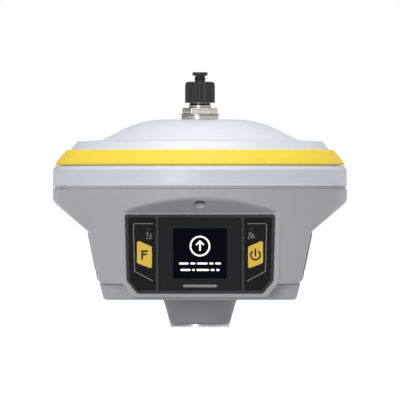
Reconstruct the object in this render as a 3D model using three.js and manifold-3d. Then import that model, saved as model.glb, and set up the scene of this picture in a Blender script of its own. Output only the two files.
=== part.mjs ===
// GNSS receiver for land surveying. A round housing stands on a threaded pole neck. It has a key and
// display panel on the front, a hinged battery door on each side, a port plate with a rubber flap
// on the rear, and a capped radio connector in the middle of its domed top.
// Millimetres, +Z up, front towards -Y. The origin is the centre of the neck's lower face.

import * as THREE from 'three';
import { mergeVertices } from 'three/addons/utils/BufferGeometryUtils.js';
import Module from 'manifold-3d';

const wasm = await Module();
wasm.setup();

// ---------------------------------------------------------------- driving dimensions
const GAP = 0.3; // clearance between neighbouring pieces
const WALL_SEGMENTS = 48; // facets round the housing
const NECK_SEGMENTS = 32; // facets round the pole neck and its insert
const SMALL_SEGMENTS = 16; // facets round screws, pins and the connector

const RIM_RADIUS = 76; // widest point, at the lower edge of the top cover
const HOUSING_BOTTOM = 22.5;
const HOUSING_FOOT_RADIUS = 74.6;
const FLOOR_TOP = 25;
const SEAM_BOTTOM = 71.2;
const SEAM_TOP = 72.7;
const DOME_TOP = 107;
const SHELL_WALL = 2.8;

// The wall under each quarter of the rim is set back. In (distance from the axis, height): the
// corner where the set-back wall meets its sloping ceiling, the wall's lean and the ceiling's slope.
const FACET_DISTANCE = 63.7; // front and rear
const FACE_RECESS = { corner: [FACET_DISTANCE, 59.1], lean: 0, slope: degrees(31.2), wall: 4 };
const SIDE_RECESS = { corner: [56.8, 48.95], lean: degrees(11.4), slope: degrees(39.5), wall: 4.5 };
const TURN = { right: 0, rear: Math.PI / 2, left: Math.PI, front: -Math.PI / 2 };

const BASE_HALF_WIDTH = 51.6;
const BASE_CORNER = 9;
const BASE_TOP = 22.2;
const BASE_BOTTOM = 14.2;
const NECK_BOTTOM_RADIUS = 15.4;
const NECK_TOP_RADIUS = 19.1;
const INSERT_FLANGE = 1.55; // thickness of the metal ring under the neck
const POLE_BORE_RADIUS = 7.94; // 5/8-11 survey pole thread
const NECK_ROOF = 16.5; // the pole bore ends here

const SCREW_CIRCLE = 70.5; // case screws, one in the ceiling of each recess
const SCREW_SHAFT = 1.5;
const SCREW_HEAD = 2.75;
const SCREW_SEAT = 66.5;
const BASE_SCREW_OFFSET = 40;

// Front panel, in (distance from the centre line, height)
const PANEL_FRONT = FACET_DISTANCE + 1.5;
const PANEL_BACK = FACET_DISTANCE - 1.9;
const POCKET_FLOOR = FACET_DISTANCE - 2.8;
const OVERLAY_FRONT = FACET_DISTANCE + 0.9;
const OVERLAY_BACK = FACET_DISTANCE - 0.5;
const CENTRE_ZONE = [21.15, 19.2, 56.5]; // half width, bottom, top
const KEY_OUTLINE = [[24.55, 30.2], [32.3, 33.2], [32.3, 45], [24.55, 41.6]];
const KEY_CENTRE = [28.5, 37.4];
const KEY_PROUD = 1;
const LENS_CENTRE = [26.3, 50.65];
const LENS_RADIUS = 1.2;

// Battery door, in its own frame: x out of the wall, y along it and z up it
const DOOR_FOOT = [52.6, 0, 23.2];
const DOOR_HALF_LENGTH = 40;
const DOOR_HEIGHT = 26.3;
const DOOR_THICKNESS = 2.6;
const HINGE = [-2.4, 1.6]; // pin centre: out, up
const HINGE_RADIUS = 1.6;
const PIN_RADIUS = 0.75;
const BAY_HALF_LENGTH = 33.2;
const BAY_RANGE = [6.8, 22.4]; // opening behind the door: bottom, top
const SEAL_WIDTH = 1.4;
const LATCH = { halfLength: 6, bottom: 14, top: 21, travel: 3 };
const BATTERY = { inner: 11, outer: 47.6, halfLength: 31.7, bottom: 31.1, top: 45.5 };

// Rear ports and their flap
const PORT_CENTRES = { data: 13, power: -13 };
const PORT_HEIGHT = 38;
const PORT_RADIUS = 8;
const PORT_BORE = 6.2;
const PORT_FACE = FACET_DISTANCE + 1.9;
const FLAP = { halfWidth: 26, bottom: 24, top: 52.2, thickness: 2.2, skirtWidth: 1.8 };
const SKIRT_FOOT = FACET_DISTANCE + 1.2;

// Radio connector and its dust cap, on the Z axis
const BARREL_RADIUS = 5.7;
const THREAD_RADIUS = 5.5;
const BARREL_BORE = 4;
const NUT = { bottom: 109.9, top: 112.9, cornerRadius: 9.15 };
const CAP_BOTTOM = 115.6;
const CAP_TOP = 126.5;
const CAP_RADIUS = 7.7;
const CAP_LOBES = 12;
const CAP_CEILING = 122.1;
const STUD_RADIUS = 2.66;
const STUD_TOP = 131.4;

// Board and antenna stack
const BOARD_HEIGHT = 53;
const BOARD_THICKNESS = 1.6;
const GROUND_PLATE_HEIGHT = 73.5;
const CABLE_RADIUS = 1.4;

// Finishes: colour, roughness, metalness
const GREY_SHELL = [0xa6a8ac, 0.45, 0];
const WHITE_SHELL = [0xe6eaf0, 0.35, 0];
const YELLOW_RUBBER = [0xffd957, 0.55, 0];
const DARK_GREY = [0x77797d, 0.55, 0];
const SKIRT_GREY = [0x919397, 0.5, 0];
const BLACK_PLASTIC = [0x2b2b2b, 0.5, 0];
const BLACK_RUBBER = [0x1c1c1c, 0.8, 0];
const OVERLAY_GREY = [0x2a2a2a, 0.4, 0];
const SCREEN_GLASS = [0x05080f, 0.08, 0];
const KEY_YELLOW = [0xe4bc48, 0.5, 0];
const CLEAR_LENS = [0x4a5a50, 0.2, 0];
const STEEL = [0xb9b6b0, 0.3, 1];
const BRASS = [0xb08d4a, 0.35, 1];
const BOARD_GREEN = [0x1d5a3a, 0.6, 0];
const CERAMIC = [0xd9d2c0, 0.7, 0];
const CELL_BLACK = [0x303338, 0.5, 0];
const PTFE = [0xf2f2ee, 0.4, 0];
const CABLE_BROWN = [0x7a4a2a, 0.5, 0];

// ---------------------------------------------------------------- shape helpers
function degrees(angle) {
  return THREE.MathUtils.degToRad(angle);
}

// A closed three.js geometry as a manifold solid.
function toSolid(geometry) {
  let bare = geometry;
  if (geometry.hasAttribute('uv')) {
    bare = geometry.clone();
    bare.deleteAttribute('normal');
    bare.deleteAttribute('uv');
    bare = mergeVertices(bare);
  }
  const corners = bare.index.array;
  const faces = [];
  for (let i = 0; i < corners.length; i += 3) {
    const [a, b, c] = corners.slice(i, i + 3);
    if (a !== b && b !== c && c !== a) faces.push(a, b, c);
  }
  const vertProperties = bare.attributes.position.array;
  return new wasm.Manifold(new wasm.Mesh({ numProp: 3, vertProperties, triVerts: new Uint32Array(faces) }));
}

function toGeometry(solid) {
  const { vertProperties, triVerts } = solid.getMesh();
  const geometry = new THREE.BufferGeometry();
  geometry.setAttribute('position', new THREE.BufferAttribute(vertProperties.slice(), 3));
  geometry.setIndex(new THREE.BufferAttribute(triVerts.slice(), 1));
  return geometry;
}

function combine(operation, [first, ...others]) {
  return toGeometry(others.reduce((sum, shape) => sum[operation](toSolid(shape)), toSolid(first)));
}

function join(...shapes) {
  return combine('add', shapes);
}

function cut(...shapes) {
  return combine('subtract', shapes);
}

// Turns a profile of [radius, height] points about the Z axis.
function revolve(profile, segments = WALL_SEGMENTS) {
  const points = profile.map(([radius, height]) => new THREE.Vector2(radius, height));
  if (THREE.ShapeUtils.area(points) < 0) points.reverse();
  const onAxis = profile[0][0] === 0 && profile.at(-1)[0] === 0;
  if (!onAxis) points.push(points[0].clone());
  return new THREE.LatheGeometry(points, segments).rotateX(Math.PI / 2);
}

// Points on an arc, from one angle to another in degrees, both ends included.
function arc([centreX, centreZ], radius, from, to, steps) {
  return Array.from({ length: steps + 1 }, (_, i) => {
    const angle = degrees(from + ((to - from) * i) / steps);
    return [centreX + radius * Math.cos(angle), centreZ + radius * Math.sin(angle)];
  });
}

// A polygon with its corners rounded off, each cut starting radius away from the corner.
function roundedShape(points, radius) {
  const shape = new THREE.Shape();
  points.forEach((point, i) => {
    const corner = new THREE.Vector2(...point);
    const toBefore = new THREE.Vector2(...points.at(i - 1)).sub(corner).setLength(radius);
    const toAfter = new THREE.Vector2(...points[(i + 1) % points.length]).sub(corner).setLength(radius);
    const start = corner.clone().add(toBefore);
    const end = corner.clone().add(toAfter);
    if (i === 0) shape.moveTo(start.x, start.y);
    else shape.lineTo(start.x, start.y);
    shape.quadraticCurveTo(corner.x, corner.y, end.x, end.y);
  });
  shape.closePath();
  return shape;
}

function plainShape(points) {
  return new THREE.Shape(points.map((point) => new THREE.Vector2(...point)));
}

function rectangle(halfWidth, bottom, top, centre = 0) {
  const [left, right] = [centre - halfWidth, centre + halfWidth];
  return [[left, bottom], [right, bottom], [right, top], [left, top]];
}

function extrude(shape, depth) {
  return new THREE.ExtrudeGeometry(shape, { depth, bevelEnabled: false, curveSegments: 3 });
}

// Extrudes an outline drawn in (x, z) along Y.
function prismAlongY(shape, low, high) {
  return extrude(shape, high - low).rotateX(Math.PI / 2).translate(0, high, 0);
}

// Extrudes an outline drawn in (x, y) along Z.
function prismAlongZ(shape, low, high) {
  return extrude(shape, high - low).translate(0, 0, low);
}

function block([x0, x1], [y0, y1], [z0, z1]) {
  const geometry = new THREE.BoxGeometry(x1 - x0, y1 - y0, z1 - z0);
  return geometry.translate((x0 + x1) / 2, (y0 + y1) / 2, (z0 + z1) / 2);
}

function rodAlongZ([x, y], radius, low, high, segments = SMALL_SEGMENTS) {
  const geometry = new THREE.CylinderGeometry(radius, radius, high - low, segments);
  return geometry.rotateX(Math.PI / 2).translate(x, y, (low + high) / 2);
}

function rodAlongY([x, z], radius, low, high) {
  const geometry = new THREE.CylinderGeometry(radius, radius, high - low, SMALL_SEGMENTS);
  return geometry.translate(x, (low + high) / 2, z);
}

// A closed solid through scaled copies of one outline, given as [height, scale] levels going up.
function loft(outline, levels) {
  const count = outline.length;
  const position = levels.flatMap(([z, scale]) => outline.flatMap(({ x, y }) => [x * scale, y * scale, z]));
  const index = [];
  for (let level = 0; level < levels.length - 1; level += 1) {
    for (let i = 0; i < count; i += 1) {
      const a = level * count + i;
      const b = level * count + ((i + 1) % count);
      index.push(a, b, b + count, a, b + count, a + count);
    }
  }
  const topStart = (levels.length - 1) * count;
  for (const [a, b, c] of THREE.ShapeUtils.triangulateShape(outline, [])) {
    index.push(c, b, a, topStart + a, topStart + b, topStart + c);
  }
  const geometry = new THREE.BufferGeometry();
  geometry.setAttribute('position', new THREE.Float32BufferAttribute(position, 3));
  geometry.setIndex(index);
  return geometry;
}

const receiver = new THREE.Group();

function addPart(name, geometry, [color, roughness, metalness], parent = receiver) {
  const closed = toGeometry(toSolid(geometry));
  closed.computeVertexNormals();
  const mesh = new THREE.Mesh(closed, new THREE.MeshStandardMaterial({ color, roughness, metalness }));
  mesh.name = name;
  parent.add(mesh);
}

// ---------------------------------------------------------------- recesses and door frames
// Everything outside a set-back wall and under its ceiling, with both moved inwards by inset.
function recessTool({ corner, lean, slope }, turn, inset) {
  const facet = [Math.cos(lean), -Math.sin(lean)];
  const ceiling = [Math.sin(slope), -Math.cos(slope)];
  const cross = facet[0] * ceiling[1] - facet[1] * ceiling[0];
  const distance = corner[0] - (inset * (ceiling[1] - facet[1])) / cross;
  const height = corner[1] - (inset * (facet[0] - ceiling[0])) / cross;
  const reach = 70;
  const outline = [
    [distance, height],
    [distance + reach * Math.cos(slope), height + reach * Math.sin(slope)],
    [2 * reach, -reach],
    [distance - reach * Math.sin(lean), height - reach * Math.cos(lean)],
  ];
  return prismAlongY(plainShape(outline), -100, 100).rotateZ(turn);
}

function recessTools(insetOf) {
  return Object.entries(TURN).map(([name, turn]) => {
    const recess = name === 'front' || name === 'rear' ? FACE_RECESS : SIDE_RECESS;
    return recessTool(recess, turn, insetOf(recess));
  });
}

// The frame of a battery door: x out of the wall, z up it.
function doorFrame(turn) {
  const frame = new THREE.Group();
  frame.position.set(...DOOR_FOOT);
  frame.rotation.y = SIDE_RECESS.lean;
  const side = new THREE.Group();
  side.rotation.z = turn;
  side.add(frame);
  side.updateMatrixWorld(true);
  return { side, frame };
}

// ---------------------------------------------------------------- outlines of the panels
function panelOutline(grow) {
  const right = [
    [38.2 + grow, 57.8 + grow],
    [37.25 + grow, 24.3 - 0.4 * grow],
    [31.9 + 0.4 * grow, 17.8 - grow],
  ];
  return [...right, ...right.toReversed().map(([x, z]) => [-x, z])];
}

function sideZoneOutline(side, inset) {
  const outline = [
    [22.75 + inset, 19.2 + inset],
    [31.9 - 0.5 * inset, 19.2 + inset],
    [36 - inset, 25 + 0.5 * inset],
    [36.7 - inset, 56.5 - inset],
    [22.75 + inset, 56.5 - inset],
  ];
  return outline.map(([x, z]) => [side * x, z]);
}

function keyOutline(side, grow) {
  const [[inner, innerLow], [outer, outerLow], [, outerHigh], [, innerHigh]] = KEY_OUTLINE;
  const outline = [
    [inner - grow, innerLow - grow],
    [outer + grow, outerLow - grow],
    [outer + grow, outerHigh + grow],
    [inner - grow, innerHigh + grow],
  ];
  return outline.map(([x, z]) => [side * x, z]);
}

// ---------------------------------------------------------------- housing
const SCREW_PLACES = Object.entries(TURN).map(([name, turn]) => {
  return { name, place: [SCREW_CIRCLE * Math.cos(turn), SCREW_CIRCLE * Math.sin(turn)] };
});

// Solid bridge under the floor that carries the lower part of a front or rear panel.
function panelPad(turn) {
  const [top, bottom] = [HOUSING_BOTTOM + 0.3, 15.7];
  const outline = [[-39.4, top], [-33.5, bottom], [33.5, bottom], [39.4, top]];
  const padBack = BASE_HALF_WIDTH + 0.8;
  return prismAlongY(plainShape(outline), -FACET_DISTANCE, -padBack).rotateZ(turn - TURN.front);
}

// Pocket for a panel and the window behind it, cut into the front or rear wall.
function panelCuts(turn, windowHalfWidth, windowBottom, windowTop) {
  const pocket = prismAlongY(roundedShape(panelOutline(GAP), 1), -FACET_DISTANCE - 5, -POCKET_FLOOR);
  const windowShape = plainShape(rectangle(windowHalfWidth, windowBottom, windowTop));
  const window = prismAlongY(windowShape, -POCKET_FLOOR - 1, -FACET_DISTANCE + 6);
  return [pocket, window].map((tool) => tool.rotateZ(turn - TURN.front));
}

function doorCuts(turn) {
  const { frame } = doorFrame(turn);
  const length = [-DOOR_HALF_LENGTH - GAP, DOOR_HALF_LENGTH + GAP];
  const floor = -DOOR_THICKNESS - GAP;
  const barrelReach = HINGE[0] - HINGE_RADIUS - GAP;
  const knuckleTop = 4.3;
  const sealOuter = BAY_HALF_LENGTH + 2.9;
  const sealRange = [BAY_RANGE[0] - 2.4, BAY_RANGE[1] + 2.4];
  const groove = cut(
    block([floor - 1, 5], [-sealOuter, sealOuter], sealRange),
    block([floor - 2, 6], [2 - sealOuter, sealOuter - 2], [sealRange[0] + 2, sealRange[1] - 2]),
  );
  const tools = [
    block([floor, 6], length, [knuckleTop - 1, DOOR_HEIGHT + GAP]),
    block([barrelReach, 6], length, [-6, knuckleTop]),
    block([-12, 0], [-BAY_HALF_LENGTH, BAY_HALF_LENGTH], BAY_RANGE),
    groove,
    rodAlongY(HINGE, PIN_RADIUS + GAP, -DOOR_HALF_LENGTH - 3.4, DOOR_HALF_LENGTH + 3.4),
  ];
  return tools.map((tool) => tool.applyMatrix4(frame.matrixWorld));
}

function lowerHousing() {
  const edge = RIM_RADIUS - 0.1;
  const outer = revolve([
    [0, HOUSING_BOTTOM],
    [HOUSING_FOOT_RADIUS, HOUSING_BOTTOM],
    [edge, SEAM_BOTTOM - 0.5],
    [edge - 0.5, SEAM_BOTTOM],
    [0, SEAM_BOTTOM],
  ]);
  const space = revolve([
    [0, FLOOR_TOP],
    [HOUSING_FOOT_RADIUS - SHELL_WALL, FLOOR_TOP],
    [edge - SHELL_WALL, SEAM_BOTTOM + 1],
    [0, SEAM_BOTTOM + 1],
  ]);
  const bosses = SCREW_PLACES.map(({ place }) => rodAlongZ(place, 5, 50, SEAM_BOTTOM + 2));
  const screwHoles = SCREW_PLACES.flatMap(({ place }) => [
    rodAlongZ(place, SCREW_HEAD + 0.45, 40, SCREW_SEAT),
    rodAlongZ(place, SCREW_SHAFT + GAP, 40, SEAM_BOTTOM + 2),
  ]);
  const cavity = cut(space, ...recessTools((recess) => recess.wall), ...bosses);
  const shell = cut(outer, ...recessTools(() => 0), cavity);
  const padded = join(shell, panelPad(TURN.front), panelPad(TURN.rear), ...baseBosses());
  return cut(
    padded,
    ...panelCuts(TURN.front, 34.5, FLOOR_TOP + 0.3, 54),
    ...panelCuts(TURN.rear, 30, 27, 50),
    ...doorCuts(TURN.right),
    ...doorCuts(TURN.left),
    ...screwHoles,
    ...baseScrewPlaces().map((place) => rodAlongZ(place, SCREW_SHAFT + GAP, 10, FLOOR_TOP + 4.4)),
  );
}

function baseScrewPlaces() {
  const offset = BASE_SCREW_OFFSET;
  return [[offset, offset], [-offset, offset], [-offset, -offset], [offset, -offset]];
}

function baseBosses() {
  return baseScrewPlaces().map((place) => rodAlongZ(place, 3.6, FLOOR_TOP - 1, FLOOR_TOP + 5.5));
}

function topCover() {
  const flatRadius = 18.5;
  const blendRadius = 46;
  const coneAngle = 26.5;
  const shoulder = [63.2, 95.7];
  const dome = (drop) =>
    arc([flatRadius, DOME_TOP - blendRadius], blendRadius - drop, 90 - coneAngle, 90, 3);
  const outer = [
    [0, SEAM_TOP],
    [RIM_RADIUS, SEAM_TOP],
    [RIM_RADIUS - 0.1, 81],
    [RIM_RADIUS - 1.5, 83.2],
    [71.9, 83.2],
    [66.75, 91.2],
    shoulder,
    [50.5, 96.4],
    ...dome(0),
    [0, DOME_TOP],
  ];
  const inner = [
    [0, SEAM_TOP - 1],
    [RIM_RADIUS - SHELL_WALL, SEAM_TOP - 1],
    [RIM_RADIUS - SHELL_WALL - 0.2, 80.6],
    [69.2, 82.2],
    [shoulder[0] - 1.2, shoulder[1] - SHELL_WALL],
    [50, 96.4 - SHELL_WALL],
    ...dome(SHELL_WALL),
    [0, DOME_TOP - SHELL_WALL],
  ];
  const bosses = SCREW_PLACES.map(({ place }) => rodAlongZ(place, 4.4, SEAM_TOP - 2, 80.5));
  const bossHoles = SCREW_PLACES.map(({ place }) => {
    return rodAlongZ(place, SCREW_SHAFT + GAP, SEAM_TOP - 2, 78.8);
  });
  const cavity = cut(revolve(inner), ...bosses);
  const connectorHole = rodAlongZ([0, 0], BARREL_RADIUS + GAP, DOME_TOP - 10, DOME_TOP + 5);
  return cut(revolve(outer), cavity, connectorHole, ...bossHoles);
}

// Rubber ring round the shoulder, thicker than the step that it sits in.
function bumperRing() {
  return revolve([
    [72.3, 83.5],
    [74.45, 83.5],
    [74.45, 84.1],
    [73.1, 86.1],
    [71.5, 88.2],
    [69.75, 90.3],
    [68.7, 91.3],
    [67.2, 91.3],
  ]);
}

function caseSeal() {
  return revolve([[73.5, 71.3], [75.2, 71.3], [75.2, 72.6], [73.5, 72.6]]);
}

addPart('lower_housing', lowerHousing(), GREY_SHELL);
addPart('top_cover', topCover(), WHITE_SHELL);
addPart('bumper_ring', bumperRing(), YELLOW_RUBBER);
addPart('case_seal', caseSeal(), BLACK_RUBBER);

// ---------------------------------------------------------------- base cover and pole neck
// Tapered tray with rounded lower edges, over the underside of the housing.
function baseCover() {
  const half = BASE_HALF_WIDTH;
  const corners = [[half, half], [-half, half], [-half, -half], [half, -half]];
  const outline = roundedShape(corners, BASE_CORNER).getPoints(3);
  outline.pop();
  const edge = 2;
  const fillet = arc([half - 3.6, BASE_BOTTOM + edge], edge, -90, -16, 2).map(([x, z]) => [z, x / half]);
  const outer = loft(outline, [...fillet, [BASE_TOP, 1]]);
  const [floorScale, rimScale] = [0.92, 0.955]; // leave walls of 2.3 mm at the rim
  const inner = loft(outline, [[BASE_BOTTOM + 2.5, floorScale], [BASE_TOP + 1, rimScale]]);
  const bosses = baseScrewPlaces().map((place) => rodAlongZ(place, 4.2, BASE_BOTTOM + 1, BASE_TOP));
  const holes = baseScrewPlaces().flatMap((place) => [
    rodAlongZ(place, SCREW_HEAD + GAP, BASE_BOTTOM - 1, BASE_BOTTOM + 2.4),
    rodAlongZ(place, SCREW_SHAFT + GAP, BASE_BOTTOM - 1, BASE_TOP + 1),
  ]);
  const neckHole = rodAlongZ([0, 0], NECK_TOP_RADIUS + GAP, BASE_BOTTOM - 1, BASE_TOP, NECK_SEGMENTS);
  return cut(join(cut(outer, inner), ...bosses), neckHole, ...holes);
}

// Cone under the base, held by a flange inside it and closed above the pole bore.
function poleNeck() {
  const boreRadius = 10.7 + GAP;
  return revolve([
    [0, NECK_ROOF],
    [boreRadius, NECK_ROOF],
    [boreRadius, INSERT_FLANGE + 0.1],
    [NECK_BOTTOM_RADIUS, INSERT_FLANGE + 0.1],
    [NECK_TOP_RADIUS - 0.3, 13.2],
    [NECK_TOP_RADIUS, 13.9],
    [NECK_TOP_RADIUS, 17],
    [25, 17],
    [25, 19.5],
    [0, 19.5],
  ], NECK_SEGMENTS);
}

function poleInsert() {
  return revolve([
    [POLE_BORE_RADIUS, 0.8],
    [POLE_BORE_RADIUS + 0.8, 0],
    [NECK_BOTTOM_RADIUS, 0],
    [NECK_BOTTOM_RADIUS, INSERT_FLANGE],
    [10.7, INSERT_FLANGE],
    [10.7, NECK_ROOF - GAP],
    [POLE_BORE_RADIUS, NECK_ROOF - GAP],
  ], NECK_SEGMENTS);
}

// Pan head screw, pointing up from the underside of its head.
function screw([x, y], headBottom, headTop, tip) {
  const profile = [
    [0, headBottom + 1],
    [1.1, headBottom + 1],
    [1.1, headBottom],
    [SCREW_HEAD, headBottom],
    [SCREW_HEAD, headTop],
    [SCREW_SHAFT, headTop],
    [SCREW_SHAFT, tip - 0.8],
    [0.8, tip],
    [0, tip],
  ];
  return revolve(profile, SMALL_SEGMENTS / 2).translate(x, y, 0);
}

addPart('base_cover', baseCover(), SKIRT_GREY);
addPart('pole_neck', poleNeck(), DARK_GREY);
addPart('pole_insert', poleInsert(), STEEL);
for (const { name, place } of SCREW_PLACES) {
  addPart(`case_screw_${name}`, screw(place, SCREW_SEAT - 2.5, SCREW_SEAT - 0.1, 78), STEEL);
}
baseScrewPlaces().forEach((place, i) => {
  addPart(`base_screw_${i + 1}`, screw(place, BASE_BOTTOM + 0.2, BASE_BOTTOM + 2.3, FLOOR_TOP + 3), STEEL);
});

// ---------------------------------------------------------------- front panel
function frontBezel() {
  const plate = prismAlongY(roundedShape(panelOutline(0), 1), -PANEL_FRONT, -PANEL_BACK);
  const [zoneHalf, zoneBottom, zoneTop] = CENTRE_ZONE;
  const zone = roundedShape(rectangle(zoneHalf, zoneBottom, zoneTop), 1);
  const ledge = 0.8;
  const tools = [
    prismAlongY(zone, -PANEL_FRONT - 1, -OVERLAY_BACK + 0.1),
    prismAlongY(
      plainShape(rectangle(zoneHalf - ledge, zoneBottom + ledge, zoneTop - ledge)),
      -PANEL_FRONT - 1,
      -PANEL_BACK + 1,
    ),
  ];
  for (const side of [-1, 1]) {
    tools.push(
      prismAlongY(roundedShape(sideZoneOutline(side, 0), 1), -PANEL_FRONT - 1, -OVERLAY_BACK + 0.1),
      prismAlongY(plainShape(sideZoneOutline(side, ledge)), -PANEL_FRONT - 1, -PANEL_BACK + 1),
    );
  }
  return cut(plate, ...tools);
}

function panelGasket() {
  const [front, back] = [-PANEL_BACK + 0.1, -POCKET_FLOOR - 0.1];
  return cut(
    prismAlongY(roundedShape(panelOutline(-0.6), 1), front, back),
    prismAlongY(plainShape(rectangle(35, FLOOR_TOP, 54.6)), front - 1, back + 1),
  );
}

function displayWindow() {
  const [half, bottom, top] = CENTRE_ZONE;
  const shape = roundedShape(rectangle(half - GAP, bottom + GAP, top - GAP), 1);
  return prismAlongY(shape, -OVERLAY_FRONT, -OVERLAY_BACK);
}

function keyOverlay(side) {
  const through = [-OVERLAY_FRONT - 1, -OVERLAY_BACK + 1];
  const lensCentre = [side * LENS_CENTRE[0], LENS_CENTRE[1]];
  return cut(
    prismAlongY(roundedShape(sideZoneOutline(side, GAP), 1), -OVERLAY_FRONT, -OVERLAY_BACK),
    prismAlongY(roundedShape(keyOutline(side, GAP), 1), ...through),
    rodAlongY(lensCentre, LENS_RADIUS + GAP, ...through),
  );
}

// Keycap with a retaining flange behind the overlay and a stem towards its switch.
function keyCap(side) {
  const flangeFront = OVERLAY_BACK - GAP;
  return join(
    prismAlongY(roundedShape(keyOutline(side, 0), 1), -OVERLAY_FRONT - KEY_PROUD, -flangeFront + 0.1),
    prismAlongY(roundedShape(keyOutline(side, 0.7), 1), -flangeFront, -flangeFront + 0.8),
    rodAlongY([side * KEY_CENTRE[0], KEY_CENTRE[1]], 2, -flangeFront + 0.5, -FACET_DISTANCE + 3.1),
  );
}

function statusLens(side) {
  const centre = [side * LENS_CENTRE[0], LENS_CENTRE[1]];
  return join(
    rodAlongY(centre, LENS_RADIUS, -OVERLAY_FRONT - 0.1, -OVERLAY_BACK + GAP + 0.2),
    rodAlongY(centre, LENS_RADIUS + 0.8, -OVERLAY_BACK + GAP, -OVERLAY_BACK + 1.1),
  );
}

function keySwitch(side) {
  const [x, z] = [side * KEY_CENTRE[0], KEY_CENTRE[1]];
  const bodyFront = -FACET_DISTANCE + 4.7;
  return join(
    block([x - 3, x + 3], [bodyFront, bodyFront + 1.1], [z - 3, z + 3]),
    rodAlongY([x, z], 1.6, -FACET_DISTANCE + 4, bodyFront + 0.2),
  );
}

addPart('front_bezel', frontBezel(), BLACK_PLASTIC);
addPart('panel_gasket', panelGasket(), BLACK_RUBBER);
addPart('display_window', displayWindow(), SCREEN_GLASS);
for (const [side, word, key] of [[-1, 'left', 'function'], [1, 'right', 'power']]) {
  addPart(`key_overlay_${word}`, keyOverlay(side), OVERLAY_GREY);
  addPart(`status_lens_${word}`, statusLens(side), CLEAR_LENS);
  addPart(`${key}_button`, keyCap(side), KEY_YELLOW);
  addPart(`${key}_switch`, keySwitch(side), STEEL);
}
addPart('display_module', block([-16, 16], [-61, -57.9], [25.5, 53.3]), BLACK_PLASTIC);
addPart('key_board', block([-33, 33], [-57.6, -56], [26, 52.5]), BOARD_GREEN);

// ---------------------------------------------------------------- side battery bays
// Plate that runs down into a round barrel along the hinge pin, with a pocket for its latch.
function batteryDoor() {
  const section = new THREE.Shape();
  section.moveTo(-DOOR_THICKNESS, DOOR_HEIGHT);
  section.lineTo(-DOOR_THICKNESS, 3.9);
  section.lineTo(HINGE[0] - 1.13, HINGE[1] + 1.13);
  section.absarc(...HINGE, HINGE_RADIUS, degrees(135), degrees(270), false);
  section.quadraticCurveTo(0, 0, 0, 2.6);
  section.lineTo(0, DOOR_HEIGHT - 0.8);
  section.quadraticCurveTo(0, DOOR_HEIGHT, -0.8, DOOR_HEIGHT);
  const latchPocket = block(
    [-1.6, 2],
    [-LATCH.halfLength - GAP, LATCH.halfLength + GAP],
    [LATCH.bottom - LATCH.travel - GAP, LATCH.top + GAP],
  );
  return cut(
    prismAlongY(section, -DOOR_HALF_LENGTH, DOOR_HALF_LENGTH),
    rodAlongY(HINGE, PIN_RADIUS + GAP, -DOOR_HALF_LENGTH - 1, DOOR_HALF_LENGTH + 1),
    latchPocket,
  );
}

// Sliding thumb latch with three finger grooves.
function doorLatch() {
  const { halfLength, bottom, top } = LATCH;
  const grooveHalf = halfLength - 1;
  const grooves = [1.6, 3.2, 4.8].map((rise) => {
    return block([-0.5, 1], [-grooveHalf, grooveHalf], [bottom + rise, bottom + rise + 0.7]);
  });
  return cut(block([-1.3, -0.1], [-halfLength, halfLength], [bottom, top]), ...grooves);
}

function doorSeal() {
  const [front, back] = [-DOOR_THICKNESS - GAP, -DOOR_THICKNESS - GAP - 0.7];
  const outer = BAY_HALF_LENGTH + 2.6;
  const range = [BAY_RANGE[0] - 2.1, BAY_RANGE[1] + 2.1];
  const hole = [range[0] + SEAL_WIDTH, range[1] - SEAL_WIDTH];
  return cut(
    block([back, front], [-outer, outer], range),
    block([back - 1, front + 1], [SEAL_WIDTH - outer, outer - SEAL_WIDTH], hole),
  );
}

function battery() {
  const { inner, outer, halfLength, bottom, top } = BATTERY;
  const corners = [[outer, halfLength], [inner, halfLength], [inner, -halfLength], [outer, -halfLength]];
  return prismAlongZ(roundedShape(corners, 3), bottom, top);
}

const pinEnd = DOOR_HALF_LENGTH + 3;
for (const name of ['left', 'right']) {
  const { side, frame } = doorFrame(TURN[name]);
  addPart(`battery_door_${name}`, batteryDoor(), GREY_SHELL, frame);
  addPart(`door_hinge_pin_${name}`, rodAlongY(HINGE, PIN_RADIUS, -pinEnd, pinEnd), STEEL, frame);
  addPart(`door_latch_${name}`, doorLatch(), DARK_GREY, frame);
  addPart(`door_seal_${name}`, doorSeal(), BLACK_RUBBER, frame);
  addPart(`battery_${name}`, battery(), CELL_BLACK, side);
  receiver.add(side);
}

// Tray under both batteries with a wall between them.
const cradleWidth = [-46.5, 46.5];
const cradleLength = [-33.5, 33.5];
const dividerWidth = [GAP - BATTERY.inner, BATTERY.inner - GAP];
addPart('battery_cradle', join(
  block(cradleWidth, cradleLength, [FLOOR_TOP + GAP, BATTERY.bottom - GAP]),
  block(dividerWidth, cradleLength, [BATTERY.bottom - 1, BATTERY.top + 1]),
), BLACK_PLASTIC);

// ---------------------------------------------------------------- rear ports
function portPlate() {
  const plate = prismAlongY(roundedShape(panelOutline(0), 1), PANEL_BACK, FACET_DISTANCE + 0.9);
  const holes = Object.values(PORT_CENTRES).map((x) => {
    return rodAlongY([x, PORT_HEIGHT], PORT_RADIUS + GAP, PANEL_BACK - 1, FACET_DISTANCE + 2);
  });
  return cut(plate, ...holes);
}

// Round socket with a ring of contact pins standing on its floor.
function port(x, pinCount, ringRadius) {
  const socketFloor = PORT_FACE - 5.5;
  const shell = cut(
    rodAlongY([x, PORT_HEIGHT], PORT_RADIUS, PORT_FACE - 11, PORT_FACE),
    rodAlongY([x, PORT_HEIGHT], PORT_BORE, socketFloor, PORT_FACE + 1),
  );
  const pins = Array.from({ length: pinCount }, (_, i) => {
    const angle = (2 * Math.PI * i) / pinCount;
    const place = [x + ringRadius * Math.cos(angle), PORT_HEIGHT + ringRadius * Math.sin(angle)];
    return new THREE.CylinderGeometry(0.5, 0.5, 4.5, 8).translate(place[0], socketFloor + 1.75, place[1]);
  });
  return join(shell, ...pins);
}

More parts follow.
